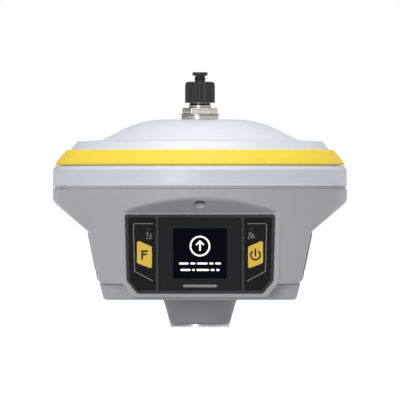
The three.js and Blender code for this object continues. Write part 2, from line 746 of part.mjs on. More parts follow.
function portCover() {
  const inner = PORT_FACE + 0.4;
  const { halfWidth, bottom, top, skirtWidth } = FLAP;
  const block = prismAlongY(
    roundedShape(rectangle(halfWidth, bottom, top), 4),
    SKIRT_FOOT,
    inner + FLAP.thickness,
  );
  const hollow = prismAlongY(
    roundedShape(rectangle(halfWidth - skirtWidth, bottom + skirtWidth, top - skirtWidth), 2.2),
    SKIRT_FOOT - 1,
    inner,
  );
  const plugs = Object.values(PORT_CENTRES).map((x) => {
    return rodAlongY([x, PORT_HEIGHT], PORT_BORE - 0.5, PORT_FACE - 1.2, inner + 0.5);
  });
  return join(cut(block, hollow), ...plugs);
}

addPart('port_plate', portPlate(), BLACK_PLASTIC);
addPart('data_port', port(PORT_CENTRES.data, 7, 4), BRASS);
addPart('power_port', port(PORT_CENTRES.power, 5, 3.6), BRASS);
addPart('port_cover', portCover(), BLACK_RUBBER);

// ---------------------------------------------------------------- boards and antenna
function shieldCan([x0, x1], [y0, y1], height) {
  const bottom = BOARD_HEIGHT + BOARD_THICKNESS + GAP;
  const shape = roundedShape([[x1, y1], [x0, y1], [x0, y0], [x1, y0]], 1.5);
  return prismAlongZ(shape, bottom, bottom + height);
}

function patch(half, bottom, thickness) {
  const shape = roundedShape([[half, half], [-half, half], [-half, -half], [half, -half]], 4);
  return prismAlongZ(shape, bottom, bottom + thickness);
}

const CABLE_HOLE = [4, 37];
const CABLE_ROUTE = [
  [0, 0, 97.6],
  [0, 1, 93],
  [0, 14, 88.6],
  [1, 30, 86.5],
  [CABLE_HOLE[0], CABLE_HOLE[1], 79],
  [CABLE_HOLE[0], CABLE_HOLE[1], 71],
  [8, 34, 66],
  [16, 20, 64],
  [22, 4, 64],
];

function radioCable() {
  const path = new THREE.CatmullRomCurve3(CABLE_ROUTE.map((point) => new THREE.Vector3(...point)));
  const section = plainShape(arc([0, 0], CABLE_RADIUS, 0, 315, 7));
  return new THREE.ExtrudeGeometry(section, { steps: 16, bevelEnabled: false, extrudePath: path });
}

const boardRange = [BOARD_HEIGHT, BOARD_HEIGHT + BOARD_THICKNESS];
addPart('main_board', block([-48, 48], [-45, 45], boardRange), BOARD_GREEN);
addPart('processor_shield', shieldCan([-40, 2], [-16, 24], 4), STEEL);
addPart('radio_module', shieldCan([8, 42], [-26, 12], 7), STEEL);
addPart('antenna_ground_plate', cut(
  rodAlongZ([0, 0], 62, GROUND_PLATE_HEIGHT, GROUND_PLATE_HEIGHT + BOARD_THICKNESS, NECK_SEGMENTS),
  rodAlongZ(CABLE_HOLE, 3, GROUND_PLATE_HEIGHT - 1, GROUND_PLATE_HEIGHT + 3),
), STEEL);
addPart('antenna_lower_patch', patch(31, 75.4, 5), CERAMIC);
addPart('antenna_upper_patch', patch(21, 80.7, 4), CERAMIC);
addPart('radio_cable', radioCable(), CABLE_BROWN);

// ---------------------------------------------------------------- radio connector and dust cap
function connectorBody() {
  return revolve([
    [BARREL_BORE, 98.2],
    [BARREL_RADIUS, 98.2],
    [BARREL_RADIUS, 101.4],
    [9, 101.4],
    [9, DOME_TOP - SHELL_WALL - 0.3],
    [BARREL_RADIUS, DOME_TOP - SHELL_WALL - 0.3],
    [BARREL_RADIUS, 114.4],
    [BARREL_RADIUS - 0.5, 114.9],
    [4.8, 114.9],
    [4.8, 115.9],
    [THREAD_RADIUS, 115.9],
    [THREAD_RADIUS, 120.2],
    [THREAD_RADIUS - 0.4, 120.6],
    [BARREL_BORE, 120.6],
  ], SMALL_SEGMENTS);
}

function ring(innerRadius, outerRadius, bottom, top) {
  const profile = [[innerRadius, bottom], [outerRadius, bottom], [outerRadius, top], [innerRadius, top]];
  return revolve(profile, 24);
}

function hexNut() {
  const corners = arc([0, 0], NUT.cornerRadius, 0, 300, 5);
  return cut(
    prismAlongZ(plainShape(corners), NUT.bottom, NUT.top),
    rodAlongZ([0, 0], BARREL_RADIUS + GAP, NUT.bottom - 1, NUT.top + 1),
  );
}

// Fluted cap with a rounded top edge, hollow from below, with a hole for its stud.
function dustCap() {
  const [fluteDepth, edge] = [0.7, 1.8];
  const outline = Array.from({ length: 4 * CAP_LOBES }, (_, i) => {
    const angle = (2 * Math.PI * i) / (4 * CAP_LOBES);
    const radius = CAP_RADIUS - fluteDepth * (1 - Math.cos(CAP_LOBES * angle)) / 2;
    return new THREE.Vector2(radius * Math.cos(angle), radius * Math.sin(angle));
  });
  const crown = arc([CAP_RADIUS - edge, CAP_TOP - edge], edge, 0, 90, 2)
    .map(([r, z]) => [z, r / CAP_RADIUS]);
  const body = loft(outline, [[CAP_BOTTOM, 1], ...crown]);
  return cut(
    body,
    rodAlongZ([0, 0], BARREL_RADIUS + GAP, CAP_BOTTOM - 1, CAP_CEILING),
    rodAlongZ([0, 0], STUD_RADIUS + GAP, CAP_CEILING - 1, CAP_TOP + 1),
  );
}

// Swivel stud for a cap strap: a flange inside the cap, a waist above it and a button on top.
function capStud() {
  return revolve([
    [0, 121],
    [4, 121],
    [4, CAP_CEILING - GAP],
    [STUD_RADIUS, CAP_CEILING - GAP],
    [STUD_RADIUS, 127.9],
    [2.9, 128],
    [2.9, 128.6],
    [STUD_RADIUS, 128.7],
    [STUD_RADIUS, 129.5],
    [3.9, 129.7],
    [3.9, STUD_TOP - 0.5],
    [3.4, STUD_TOP],
    [0, STUD_TOP],
  ], SMALL_SEGMENTS);
}

addPart('connector_body', connectorBody(), STEEL);
addPart('connector_seat_ring', ring(BARREL_RADIUS + GAP, 9.4, DOME_TOP, 109), STEEL);
addPart('connector_washer', ring(BARREL_RADIUS + GAP, 10.3, 109, 109.9), STEEL);
addPart('connector_nut', hexNut(), STEEL);
addPart('connector_insulator', ring(0.95, BARREL_BORE - GAP, 99, 118.5), PTFE);
addPart('connector_contact', rodAlongZ([0, 0], 0.65, 98.4, 119.8), BRASS);
addPart('dust_cap', dustCap(), BLACK_PLASTIC);
addPart('cap_gasket', ring(5, 5.45, 114.95, CAP_BOTTOM - 0.15), BLACK_RUBBER);
addPart('cap_stud', capStud(), BLACK_PLASTIC);

export default receiver;
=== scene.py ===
"""Looks of the GNSS receiver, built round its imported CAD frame.

Lengths are in millimetres, +Z up, front towards -Y, and become metres where a mesh is made.
"""

import math

import bmesh
import bpy
from mathutils import Matrix, Vector


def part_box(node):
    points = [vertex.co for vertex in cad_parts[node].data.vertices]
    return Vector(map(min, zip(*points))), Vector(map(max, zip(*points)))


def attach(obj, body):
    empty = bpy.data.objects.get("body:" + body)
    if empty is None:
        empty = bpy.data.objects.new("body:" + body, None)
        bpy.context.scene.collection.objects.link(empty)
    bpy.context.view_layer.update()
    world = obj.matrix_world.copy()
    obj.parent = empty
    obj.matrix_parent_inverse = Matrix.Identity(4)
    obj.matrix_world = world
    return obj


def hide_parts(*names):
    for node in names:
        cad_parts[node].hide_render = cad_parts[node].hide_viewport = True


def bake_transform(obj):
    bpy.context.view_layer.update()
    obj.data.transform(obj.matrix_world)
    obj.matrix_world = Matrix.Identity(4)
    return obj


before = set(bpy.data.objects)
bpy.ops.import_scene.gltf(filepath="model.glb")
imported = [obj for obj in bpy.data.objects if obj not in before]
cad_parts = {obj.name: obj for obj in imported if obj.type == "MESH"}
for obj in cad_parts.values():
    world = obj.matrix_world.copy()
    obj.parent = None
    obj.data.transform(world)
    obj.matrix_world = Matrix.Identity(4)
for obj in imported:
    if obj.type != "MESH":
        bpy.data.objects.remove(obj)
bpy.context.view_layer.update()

MM = 0.001


def span(node):
    """Lowest and highest corners of a CAD node, in millimetres."""
    low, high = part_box(node)
    return [v / MM for v in low], [v / MM for v in high]


# ---------------------------------------------------------------- sizes, from the CAD where it has them
COVER_LOW, COVER_HIGH = span("top_cover")
HOUSING_LOW, HOUSING_HIGH = span("lower_housing")
BASE_LOW, BASE_HIGH = span("base_cover")
NECK_LOW = span("pole_neck")[0]
CAP_LOW, CAP_HIGH = span("dust_cap")
STUD_HIGH = span("cap_stud")[1]
BEZEL_LOW, BEZEL_HIGH = span("front_bezel")
OVERLAY_LOW, OVERLAY_HIGH = span("key_overlay_right")
KEY_LOW = span("power_button")[0]
WINDOW_LOW, WINDOW_HIGH = span("display_window")
FLAP_LOW, FLAP_HIGH = span("port_cover")
NUT_LOW, NUT_HIGH = span("connector_nut")
WASHER_LOW, WASHER_HIGH = span("connector_washer")

GAP = 0.3
RIM_RADIUS = COVER_HIGH[0]
SEAM_TOP = COVER_LOW[2]
DOME_TOP = COVER_HIGH[2]
SEAM_BOTTOM = HOUSING_HIGH[2]
PILLAR_FOOT = 22.5
PAD_BOTTOM = HOUSING_LOW[2]
FLOOR_TOP = 25
HOUSING_TOP_RADIUS = HOUSING_HIGH[0]
HOUSING_FOOT_RADIUS = 74.6
FACET = 63.7
FACE_RECESS = dict(corner=(FACET, 59.1), lean=0, slope=math.radians(31.2), wall=4)
SIDE_RECESS = dict(corner=(56.8, 48.95), lean=math.radians(11.4), slope=math.radians(39.5), wall=4.5)
TURNS = dict(right=0, rear=math.pi / 2, left=math.pi, front=-math.pi / 2)
SCREW_CIRCLE = 70.5
SCREW_SEAT = 66.5
POCKET_FLOOR = FACET - 2.8
TRAY_SCREW = 40  # how far a base screw is from the axis, along X and along Y
QUADRANTS = ((1, 1), (-1, 1), (-1, -1), (1, -1))
POLE_BORE = 7.94
NECK_BOTTOM_RADIUS = 15.4
NECK_TOP_RADIUS = 19.1

DOOR_FOOT = (52.6, 0, 23.2)
DOOR_LEAN = SIDE_RECESS["lean"]
DOOR_HALF = 40
DOOR_HEIGHT = 26.3
DOOR_THICKNESS = 2.6
HINGE = (-2.4, 1.6)
HINGE_RADIUS = 1.6
PIN_RADIUS = 0.75
BAY_HALF = 33.2
BAY_RANGE = (6.8, 22.4)
LATCH_HALF = 6
LATCH_BOTTOM = 14
LATCH_TOP = 21
LATCH_TRAVEL = 3

KEY_CENTRE = (28.35, 37.35)
LENS_CENTRE = (26.3, 50.65)
LENS_RADIUS = 1.2
PORT_X = 13
PORT_Z = 38
PORT_RADIUS = 8
PORT_BORE = 6.2
PORT_FACE = FACET + 1.9
SKIRT_FOOT = FACET + 1.2  # where the port cover's skirt ends, just off the plate
BARREL_RADIUS = 5.7


# ---------------------------------------------------------------- mesh helpers
def make_mesh(name, vertices, faces):
    """A new object with these vertices, in millimetres, and its faces turned outwards."""
    mesh = bpy.data.meshes.new(name)
    mesh.from_pydata([(x * MM, y * MM, z * MM) for x, y, z in vertices], [], faces)
    piece = bpy.data.objects.new(name, mesh)
    bpy.context.scene.collection.objects.link(piece)
    shape = bmesh.new()
    shape.from_mesh(mesh)
    bmesh.ops.recalc_face_normals(shape, faces=shape.faces)
    shape.to_mesh(mesh)
    shape.free()
    return piece


def rounded(points, closed=True, steps=4):
    """A polygon of (x, y) or (x, y, radius) points with arcs of that radius at its corners."""
    result = []
    count = len(points)
    for i, point in enumerate(points):
        corner = Vector(point[:2])
        radius = point[2] if len(point) > 2 else 0
        at_end = not closed and i in (0, count - 1)
        if radius == 0 or at_end:
            result.append((corner.x, corner.y))
            continue
        before = Vector(points[i - 1][:2]) - corner
        after = Vector(points[(i + 1) % count][:2]) - corner
        turn = before.angle(after)
        reach = min(radius / math.tan(turn / 2), 0.49 * before.length, 0.49 * after.length)
        size = reach * math.tan(turn / 2)
        before.normalize()
        after.normalize()
        centre = corner + (before + after).normalized() * size / math.sin(turn / 2)
        first = corner + before * reach - centre
        last = corner + after * reach - centre
        sweep = math.pi - turn
        for k in range(steps + 1):
            t = k / steps
            blend = (first * math.sin((1 - t) * sweep) + last * math.sin(t * sweep)) / math.sin(sweep)
            place = centre + blend
            result.append((place.x, place.y))
    return result


def lathe(name, profile, segments):
    """A solid turned about the Z axis. Its (radius, height) points end on the axis or join up."""
    vertices = []
    rows = []
    for radius, height in profile:
        start = len(vertices)
        if radius == 0:
            vertices.append((0, 0, height))
            rows.append([start] * segments)
            continue
        for i in range(segments):
            angle = 2 * math.pi * i / segments
            vertices.append((radius * math.cos(angle), radius * math.sin(angle), height))
        rows.append(list(range(start, start + segments)))
    pairs = list(zip(rows, rows[1:]))
    if profile[0][0] > 0:
        pairs.append((rows[-1], rows[0]))
    faces = []
    for low, high in pairs:
        for i in range(segments):
            j = (i + 1) % segments
            corners = list(dict.fromkeys([low[i], low[j], high[j], high[i]]))
            if len(corners) > 2:
                faces.append(corners)
    return make_mesh(name, vertices, faces)


AXIS_FRAMES = {
    "x": lambda u, v, w: (w, u, v),
    "y": lambda u, v, w: (u, w, v),
    "z": lambda u, v, w: (u, v, w),
}


def loft(name, rows):
    """A solid skinned over rows of equally many points."""
    count = len(rows[0])
    vertices = [point for row in rows for point in row]
    faces = [list(range(count)), list(range(len(vertices) - count, len(vertices)))]
    for start in range(0, len(vertices) - count, count):
        for i in range(count):
            j = (i + 1) % count
            faces.append([start + i, start + j, start + count + j, start + count + i])
    return make_mesh(name, vertices, faces)


def prism(name, outline, axis, low, high):
    """A solid from low to high along an axis, with an outline in the other two axes."""
    to_xyz = AXIS_FRAMES[axis]
    return loft(name, [[to_xyz(u, v, w) for u, v in outline] for w in (low, high)])


def ribbon_faces(count, closed=False):
    """Faces of a bar that has four corners at each of count stations."""
    faces = []
    for i in range(count if closed else count - 1):
        a, b = 4 * i, 4 * ((i + 1) % count)
        faces += [[a, a + 2, b + 2, b], [a + 1, b + 1, b + 3, a + 3], [a, b, b + 1, a + 1],
                  [a + 2, a + 3, b + 3, b + 2]]
    if not closed:
        end = 4 * (count - 1)
        faces += [[0, 1, 3, 2], [end, end + 2, end + 3, end + 1]]
    return faces


def circle(centre, radius, steps=48):
    angles = [2 * math.pi * i / steps for i in range(steps)]
    return [(centre[0] + radius * math.cos(a), centre[1] + radius * math.sin(a)) for a in angles]


def rectangle(half_width, bottom, top, radius=0, centre=0):
    left, right = centre - half_width, centre + half_width
    return rounded([(left, bottom, radius), (right, bottom, radius),
                    (right, top, radius), (left, top, radius)])


def block(name, x_range, y_range, z_range):
    (left, right), (front, back) = x_range, y_range
    return prism(name, [(left, front), (right, front), (right, back), (left, back)], "z", *z_range)


def place(piece, matrix):
    """Moves a piece's mesh by a matrix in millimetres."""
    scaled = matrix.copy()
    scaled.translation = matrix.translation * MM
    piece.data.transform(scaled)
    return piece


def turned(piece, angle):
    return place(piece, Matrix.Rotation(angle, 4, "Z"))


def apply_modifiers(piece):
    depsgraph = bpy.context.evaluated_depsgraph_get()
    piece.data = bpy.data.meshes.new_from_object(piece.evaluated_get(depsgraph))
    piece.modifiers.clear()
    return piece


def combine(piece, operation, *tools):
    """Joins tools to a piece, or cuts them out of it, and removes them."""
    for tool in tools:
        modifier = piece.modifiers.new("combine", "BOOLEAN")
        modifier.operation = operation
        modifier.solver = "EXACT"
        modifier.object = tool
        apply_modifiers(piece)
        bpy.data.objects.remove(tool)
    return piece


def cut(piece, *tools):
    return combine(piece, "DIFFERENCE", *tools)


def join(piece, *tools):
    return combine(piece, "UNION", *tools)


def bevel(piece, width, segments=3, angle=60):
    modifier = piece.modifiers.new("bevel", "BEVEL")
    modifier.width = width * MM
    modifier.segments = segments
    modifier.limit_method = "ANGLE"
    modifier.angle_limit = math.radians(angle)
    modifier.use_clamp_overlap = True
    return apply_modifiers(piece)


def gather(name, pieces):
    """Several separate solids as one object."""
    shape = bmesh.new()
    for piece in pieces:
        shape.from_mesh(piece.data)
        bpy.data.objects.remove(piece)
    mesh = bpy.data.meshes.new(name)
    shape.to_mesh(mesh)
    shape.free()
    result = bpy.data.objects.new(name, mesh)
    bpy.context.scene.collection.objects.link(result)
    return result


def finish_piece(piece, name, look, body="root", nodes=(), smooth=35):
    """Shades a piece, gives it its material, ties it to its body, and hides the CAD nodes it stands in
    for.
    """
    piece.name = name
    piece.data.name = name
    piece.data.shade_smooth()
    piece.data.set_sharp_from_angle(angle=math.radians(smooth))
    modifier = piece.modifiers.new("normals", "WEIGHTED_NORMAL")
    modifier.keep_sharp = True
    apply_modifiers(piece)
    slot, material = LOOKS[look]
    piece.data.materials.clear()
    piece.data.materials.append(material)
    if body is not None:
        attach(piece, body)
    if nodes:
        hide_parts(*nodes)
    return piece


# ---------------------------------------------------------------- materials
def linear(red, green, blue):
    """An 8-bit sRGB colour as linear RGBA."""
    channels = []
    for value in (red, green, blue):
        share = value / 255
        channels.append(share / 12.92 if share <= 0.04045 else ((share + 0.055) / 1.055) ** 2.4)
    return (*channels, 1)


def add_noise(nodes, links, coordinates, scale, detail):
    noise = nodes.new("ShaderNodeTexNoise")
    noise.inputs["Scale"].default_value = scale
    noise.inputs["Detail"].default_value = detail
    links.new(coordinates, noise.inputs["Vector"])
    return noise.outputs["Fac"]


def add_range(nodes, links, factor, low, high):
    """Maps the middle of a noise to low..high."""
    mapped = nodes.new("ShaderNodeMapRange")
    mapped.inputs["From Min"].default_value = 0.3
    mapped.inputs["From Max"].default_value = 0.7
    mapped.inputs["To Min"].default_value = low
    mapped.inputs["To Max"].default_value = high
    links.new(factor, mapped.inputs["Value"])
    return mapped.outputs["Result"]


def surface(name, shade, roughness, variation=0.03, grain=2600, relief=0.02, metallic=0, gloss=0.4,
            brushed=None):
    """A procedural finish: broad tone drift, fine grain in its relief, and uneven gloss."""
    colour = linear(*shade)
    material = bpy.data.materials.new(name)
    material.use_nodes = True
    nodes, links = material.node_tree.nodes, material.node_tree.links
    shader = nodes["Principled BSDF"]
    coordinates = nodes.new("ShaderNodeTexCoord").outputs["Object"]
    if brushed:
        mapping = nodes.new("ShaderNodeMapping")
        mapping.inputs["Scale"].default_value = brushed
        links.new(coordinates, mapping.inputs["Vector"])
        coordinates = mapping.outputs["Vector"]

    broad = add_noise(nodes, links, coordinates, 45, 3)
    fine = add_noise(nodes, links, coordinates, grain, 2)
    tone = nodes.new("ShaderNodeMix")
    tone.data_type = "RGBA"
    dark = [channel * (1 - variation) for channel in colour[:3]]
    light = [min(channel * (1 + variation), 1) for channel in colour[:3]]
    tone.inputs["A"].default_value = (*dark, 1)
    tone.inputs["B"].default_value = (*light, 1)
    links.new(add_range(nodes, links, broad, 0, 1), tone.inputs["Factor"])
    links.new(tone.outputs["Result"], shader.inputs["Base Color"])
    links.new(add_range(nodes, links, fine, roughness * 0.88, roughness * 1.12),
              shader.inputs["Roughness"])

    bump = nodes.new("ShaderNodeBump")
    bump.inputs["Strength"].default_value = 0.5
    bump.inputs["Distance"].default_value = relief * MM
    links.new(fine, bump.inputs["Height"])
    links.new(bump.outputs["Normal"], shader.inputs["Normal"])
    shader.inputs["Metallic"].default_value = metallic
    shader.inputs["Specular IOR Level"].default_value = gloss
    return material


def glow(name, shade, strength):
    """A lit display element with a slight unevenness."""
    material = surface(name, shade, 0.4, variation=0.05, relief=0.005)
    shader = material.node_tree.nodes["Principled BSDF"]
    shader.inputs["Emission Color"].default_value = linear(*shade)
    shader.inputs["Emission Strength"].default_value = strength
    return material


LOOKS = {}


def look(key, slot, name, shade, roughness, **finish):
    LOOKS[key] = (slot, surface(name, shade, roughness, **finish))


look("white", "white_shell", "radome_white", (226, 230, 236), 0.36, variation=0.012, gloss=0.7)
look("grey", "grey_shell", "shell_grey", (184, 186, 190), 0.42, variation=0.02, grain=3200, relief=0.03)
look("skirt", "skirt_plastic", "skirt_grey", (184, 186, 190), 0.45, variation=0.02)
look("neck", "dark_grey_plastic", "neck_grey", (150, 152, 156), 0.5, variation=0.02)
look("latch", "dark_grey_plastic", "latch_grey", (92, 94, 97), 0.5, variation=0.03)
look("yellow", "yellow_rubber", "bumper_yellow", (255, 222, 72), 0.5, variation=0.015, relief=0.015,
     gloss=0.25)
look("bezel", "black_plastic", "bezel_black", (50, 51, 52), 0.46, variation=0.04, grain=4200, gloss=0.2)
look("overlay", "overlay_film", "overlay_film", (30, 30, 31), 0.5, variation=0.05, grain=5200,
     gloss=0.06)
look("window", "screen_glass", "window_black", (32, 32, 33), 0.4, variation=0.04, relief=0.002,
     gloss=0.08)
look("screen", "screen_glass", "screen_dark", (4, 7, 18), 0.3, variation=0.3, relief=0.001, gloss=0.02)
LOOKS["lit"] = ("screen_glass", glow("screen_white", (255, 251, 240), 0.6))
look("key", "key_rubber", "key_yellow", (248, 206, 78), 0.5, variation=0.03, grain=3600, gloss=0.25)
look("legend", "key_rubber", "legend_black", (28, 27, 25), 0.5, variation=0.05, gloss=0.1)
look("print", "overlay_film", "print_silver", (150, 150, 150), 0.45, variation=0.06, gloss=0.2)
look("lens", "clear_lens", "lens_smoke", (42, 43, 43), 0.3, variation=0.05, relief=0.004, gloss=0.15)
look("rubber", "black_rubber", "rubber_black", (36, 36, 37), 0.72, variation=0.06, relief=0.04,
     gloss=0.2)
look("seal", "black_rubber", "seal_grey", (204, 206, 210), 0.7, variation=0.04, gloss=0.2)
look("cap", "black_plastic", "cap_black", (44, 44, 44), 0.44, variation=0.05, grain=4200, gloss=0.25)
look("plate", "black_plastic", "plate_black", (52, 52, 54), 0.5, variation=0.05, grain=3600,
     relief=0.03, gloss=0.25)
look("steel", "steel", "insert_steel", (196, 193, 190), 0.26, variation=0.05, metallic=1,
     relief=0.004, brushed=(1, 1, 12))
look("screw", "steel", "screw_dark_steel", (52, 53, 55), 0.45, variation=0.06, metallic=1)
look("nickel", "connector_metal", "nickel", (198, 193, 186), 0.2, variation=0.06, metallic=1,
       relief=0.003, brushed=(1, 1, 10))
look("tin", "switch_metal", "tin_plate", (176, 178, 180), 0.35, variation=0.06, metallic=1)
look("sheet", "antenna_metal", "sheet_metal", (192, 194, 196), 0.38, variation=0.05, metallic=1)
look("brass", "brass", "gold_brass", (196, 158, 88), 0.28, variation=0.06, metallic=1)
look("board", "circuit_board", "solder_mask", (24, 84, 52), 0.4, variation=0.12)
look("ceramic", "ceramic", "fired_ceramic", (214, 206, 188), 0.7, variation=0.05)
look("pack", "battery_case", "pack_case", (50, 53, 58), 0.5, variation=0.05, relief=0.03)
look("cable", "cable_jacket", "cable_jacket", (118, 70, 40), 0.45, variation=0.05)
look("ptfe", "white_insulator", "white_ptfe", (238, 238, 232), 0.4, variation=0.02)


# ---------------------------------------------------------------- lower housing
def smooth_min(a, b, width):
    overlap = max(width - abs(a - b), 0) / width
    return min(a, b) - overlap * overlap * width / 4


def smooth_max(a, b, width):
    return -smooth_min(-a, -b, width)


def housing_radius(angle, height):
    """Distance of the housing's outer face from the axis, with soft edges between its faces."""
    edge_width = 1.4
    fillet_width = 1.7
    rise = (height - PILLAR_FOOT) / (SEAM_BOTTOM - PILLAR_FOOT)
    radius = HOUSING_FOOT_RADIUS + (HOUSING_TOP_RADIUS - HOUSING_FOOT_RADIUS) * rise
    for name, turn in TURNS.items():
        recess = FACE_RECESS if name in ("front", "rear") else SIDE_RECESS
        cosine = math.cos(angle - turn)
        if cosine < 0.4:
            continue
        corner, drop = recess["corner"], height - recess["corner"][1]
        wall = corner[0] + drop * math.tan(recess["lean"])
        ceiling = corner[0] + drop / math.tan(recess["slope"])
        reach = smooth_max(wall, ceiling, fillet_width) / cosine
        radius = smooth_min(radius, reach, edge_width)
    foot_edge = 0.9
    below = max(foot_edge - (height - PILLAR_FOOT), 0) / foot_edge
    rim_edge = 0.45
    above = max(rim_edge - (SEAM_BOTTOM - height), 0) / rim_edge
    radius -= foot_edge * (1 - math.sqrt(max(1 - below * below, 0)))
    return radius - rim_edge * (1 - math.sqrt(max(1 - above * above, 0)))


def housing_heights():
    """Rows of the housing's skin, closer together at its edges."""
    foot = [PILLAR_FOOT + d for d in (0, 0.05, 0.15, 0.3, 0.55, 0.9)]
    rim = [SEAM_BOTTOM - d for d in (0.45, 0.25, 0.1, 0.03, 0)]
    steps = 74
    middle = [foot[-1] + (rim[0] - foot[-1]) * i / steps for i in range(1, steps)]
    return foot + middle + rim


def housing_skin():
    rows, columns = [], 600
    for height in housing_heights():
        row = []
        for i in range(columns):
            angle = 2 * math.pi * i / columns
            radius = housing_radius(angle, height)
            row.append((radius * math.cos(angle), radius * math.sin(angle), height))
        rows.append(row)
    return loft("housing", rows)


def recess_tool(recess, turn, inset):
    """Everything outside a set-back wall and under its ceiling, both moved inwards by inset."""
    lean, slope, corner = recess["lean"], recess["slope"], recess["corner"]
    wall = (math.cos(lean), -math.sin(lean))
    ceiling = (math.sin(slope), -math.cos(slope))
    cross = wall[0] * ceiling[1] - wall[1] * ceiling[0]
    distance = corner[0] - inset * (ceiling[1] - wall[1]) / cross
    height = corner[1] - inset * (wall[0] - ceiling[0]) / cross
    reach = 70
    outline = [
        (distance, height),
        (distance + reach * math.cos(slope), height + reach * math.sin(slope)),
        (2 * reach, -reach),
        (distance - reach * math.sin(lean), height - reach * math.cos(lean)),
    ]
    return turned(prism("recess", outline, "y", -100, 100), turn)


def both_halves(right):
    return right + [(-x, z, radius) for x, z, radius in reversed(right)]


def panel_outline(grow):
    return rounded(both_halves([
        (31.9 + 0.4 * grow, 17.8 - grow, 1.8),
        (37.25 + grow, 24.3 - 0.4 * grow, 1.8),
        (38.2 + grow, 57.8 + grow, 1.3),
    ]), steps=5)


def band(turn):
    """Raised pad round a panel, which hangs below the floor in front of the base cover."""
    outline = both_halves([(34, PAD_BOTTOM, 2.5), (40.6, 23.6, 2.5), (41.2, 60.5, 2)])
    piece = prism("band", rounded(outline, steps=6), "y", -FACET - 0.25, -52.4)
    bevel(piece, 0.7, segments=4, angle=50)
    return turned(piece, turn - TURNS["front"])


def door_matrix(turn):
    tilt = Matrix.Rotation(DOOR_LEAN, 4, "Y")
    return Matrix.Rotation(turn, 4, "Z") @ Matrix.Translation(DOOR_FOOT) @ tilt


def door_cuts(turn):
    length = (-DOOR_HALF - GAP, DOOR_HALF + GAP)
    floor = -DOOR_THICKNESS - GAP
    knuckle_top = 4.3
    tools = [
        block("pocket", (floor, 6), length, (knuckle_top - 1, DOOR_HEIGHT + GAP)),
        block("knuckle", (HINGE[0] - HINGE_RADIUS - GAP, 6), length, (-6, knuckle_top)),
        block("bay", (-14, 0), (-BAY_HALF, BAY_HALF), BAY_RANGE),
    ]
    return [place(tool, door_matrix(turn)) for tool in tools]


def screw_centre(turn):
    return SCREW_CIRCLE * math.cos(turn), SCREW_CIRCLE * math.sin(turn)


def screw_wells():
    radius = 3.2
    return [prism("well", circle(screw_centre(turn), radius), "z", 40, SCREW_SEAT)
            for turn in TURNS.values()]


def lower_housing():
    skin = housing_skin()
    join(skin, band(TURNS["front"]), band(TURNS["rear"]))
    wall = 2.8
    space = lathe("space", [
        (0, FLOOR_TOP),
        (HOUSING_FOOT_RADIUS - wall, FLOOR_TOP),
        (HOUSING_TOP_RADIUS - wall, SEAM_BOTTOM + 1),
        (0, SEAM_BOTTOM + 1),
    ], 96)
    for name, turn in TURNS.items():
        recess = FACE_RECESS if name in ("front", "rear") else SIDE_RECESS
        cut(space, recess_tool(recess, turn, recess["wall"]))
    for turn in TURNS.values():
        cut(space, prism("boss", circle(screw_centre(turn), 5, 32), "z", 50, SEAM_BOTTOM + 2))
    cut(skin, space)
    for turn in (TURNS["front"], TURNS["rear"]):
        pocket = prism("pocket", panel_outline(GAP), "y", -FACET - 5, -POCKET_FLOOR)
        cut(skin, turned(pocket, turn - TURNS["front"]))
    cut(skin, *door_cuts(TURNS["right"]), *door_cuts(TURNS["left"]), *screw_wells())
    return finish_piece(skin, "housing_shell", "grey", nodes=["lower_housing"], smooth=32)


# ---------------------------------------------------------------- top cover, bumper and seam
def top_cover():
    flat, blend, cone = 18.5, 46, math.radians(26.5)
    dome = []
    for i in range(13):
        angle = cone * (1 - i / 12)
        dome.append((flat + blend * math.sin(angle), DOME_TOP - blend * (1 - math.cos(angle))))
    outer = [
        (73, SEAM_TOP),
        (RIM_RADIUS, SEAM_TOP, 0.2),
        (RIM_RADIUS - 0.3, SEAM_TOP + 1.15, 0.3),
        (RIM_RADIUS - 0.3, 81, 0.4),
        (RIM_RADIUS - 1.6, 83.15, 0.3),
        (71.9, 83.3, 0.3),
        (66.75, 91.1, 0.8),
        (63.2, 95.7, 1.1),
        (50.6, 96.35, 1.6),
        *dome,
        (flat - 8, DOME_TOP),
        (BARREL_RADIUS + 0.2, DOME_TOP),
        (BARREL_RADIUS + 0.2, DOME_TOP - 2.8),
    ]
    inner = [
        (37, 99.4),
        (50, 93.6, 1),
        (62, 92.9, 1),
        (69.2, 82.2, 1),
        (73, 80.6, 1),
    ]
    piece = lathe("cover", rounded(outer + inner, steps=5), 256)
    return finish_piece(piece, "radome", "white", nodes=["top_cover"], smooth=40)


def bumper():
    section = rounded([
        (72.3, 83.5),
        (74.45, 83.45, 0.35),
        (74.5, 84.3, 0.4),
        (73.1, 86.2, 2),
        (71.5, 88.2, 3),
        (69.75, 90.3, 2),
        (68.6, 91.35, 0.45),
        (67.2, 91.3, 0.2),
    ], steps=5)
    ring = lathe("ring", section, 256)
    return finish_piece(ring, "bumper", "yellow", nodes=["bumper_ring"], smooth=50)


def seam_seal():
    section = rounded([(73.5, 71.3), (75.15, 71.3, 0.3), (75.15, 72.6, 0.3), (73.5, 72.6)])
    seal = lathe("seal", section, 256)
    return finish_piece(seal, "seam_seal", "seal", nodes=["case_seal"], smooth=50)


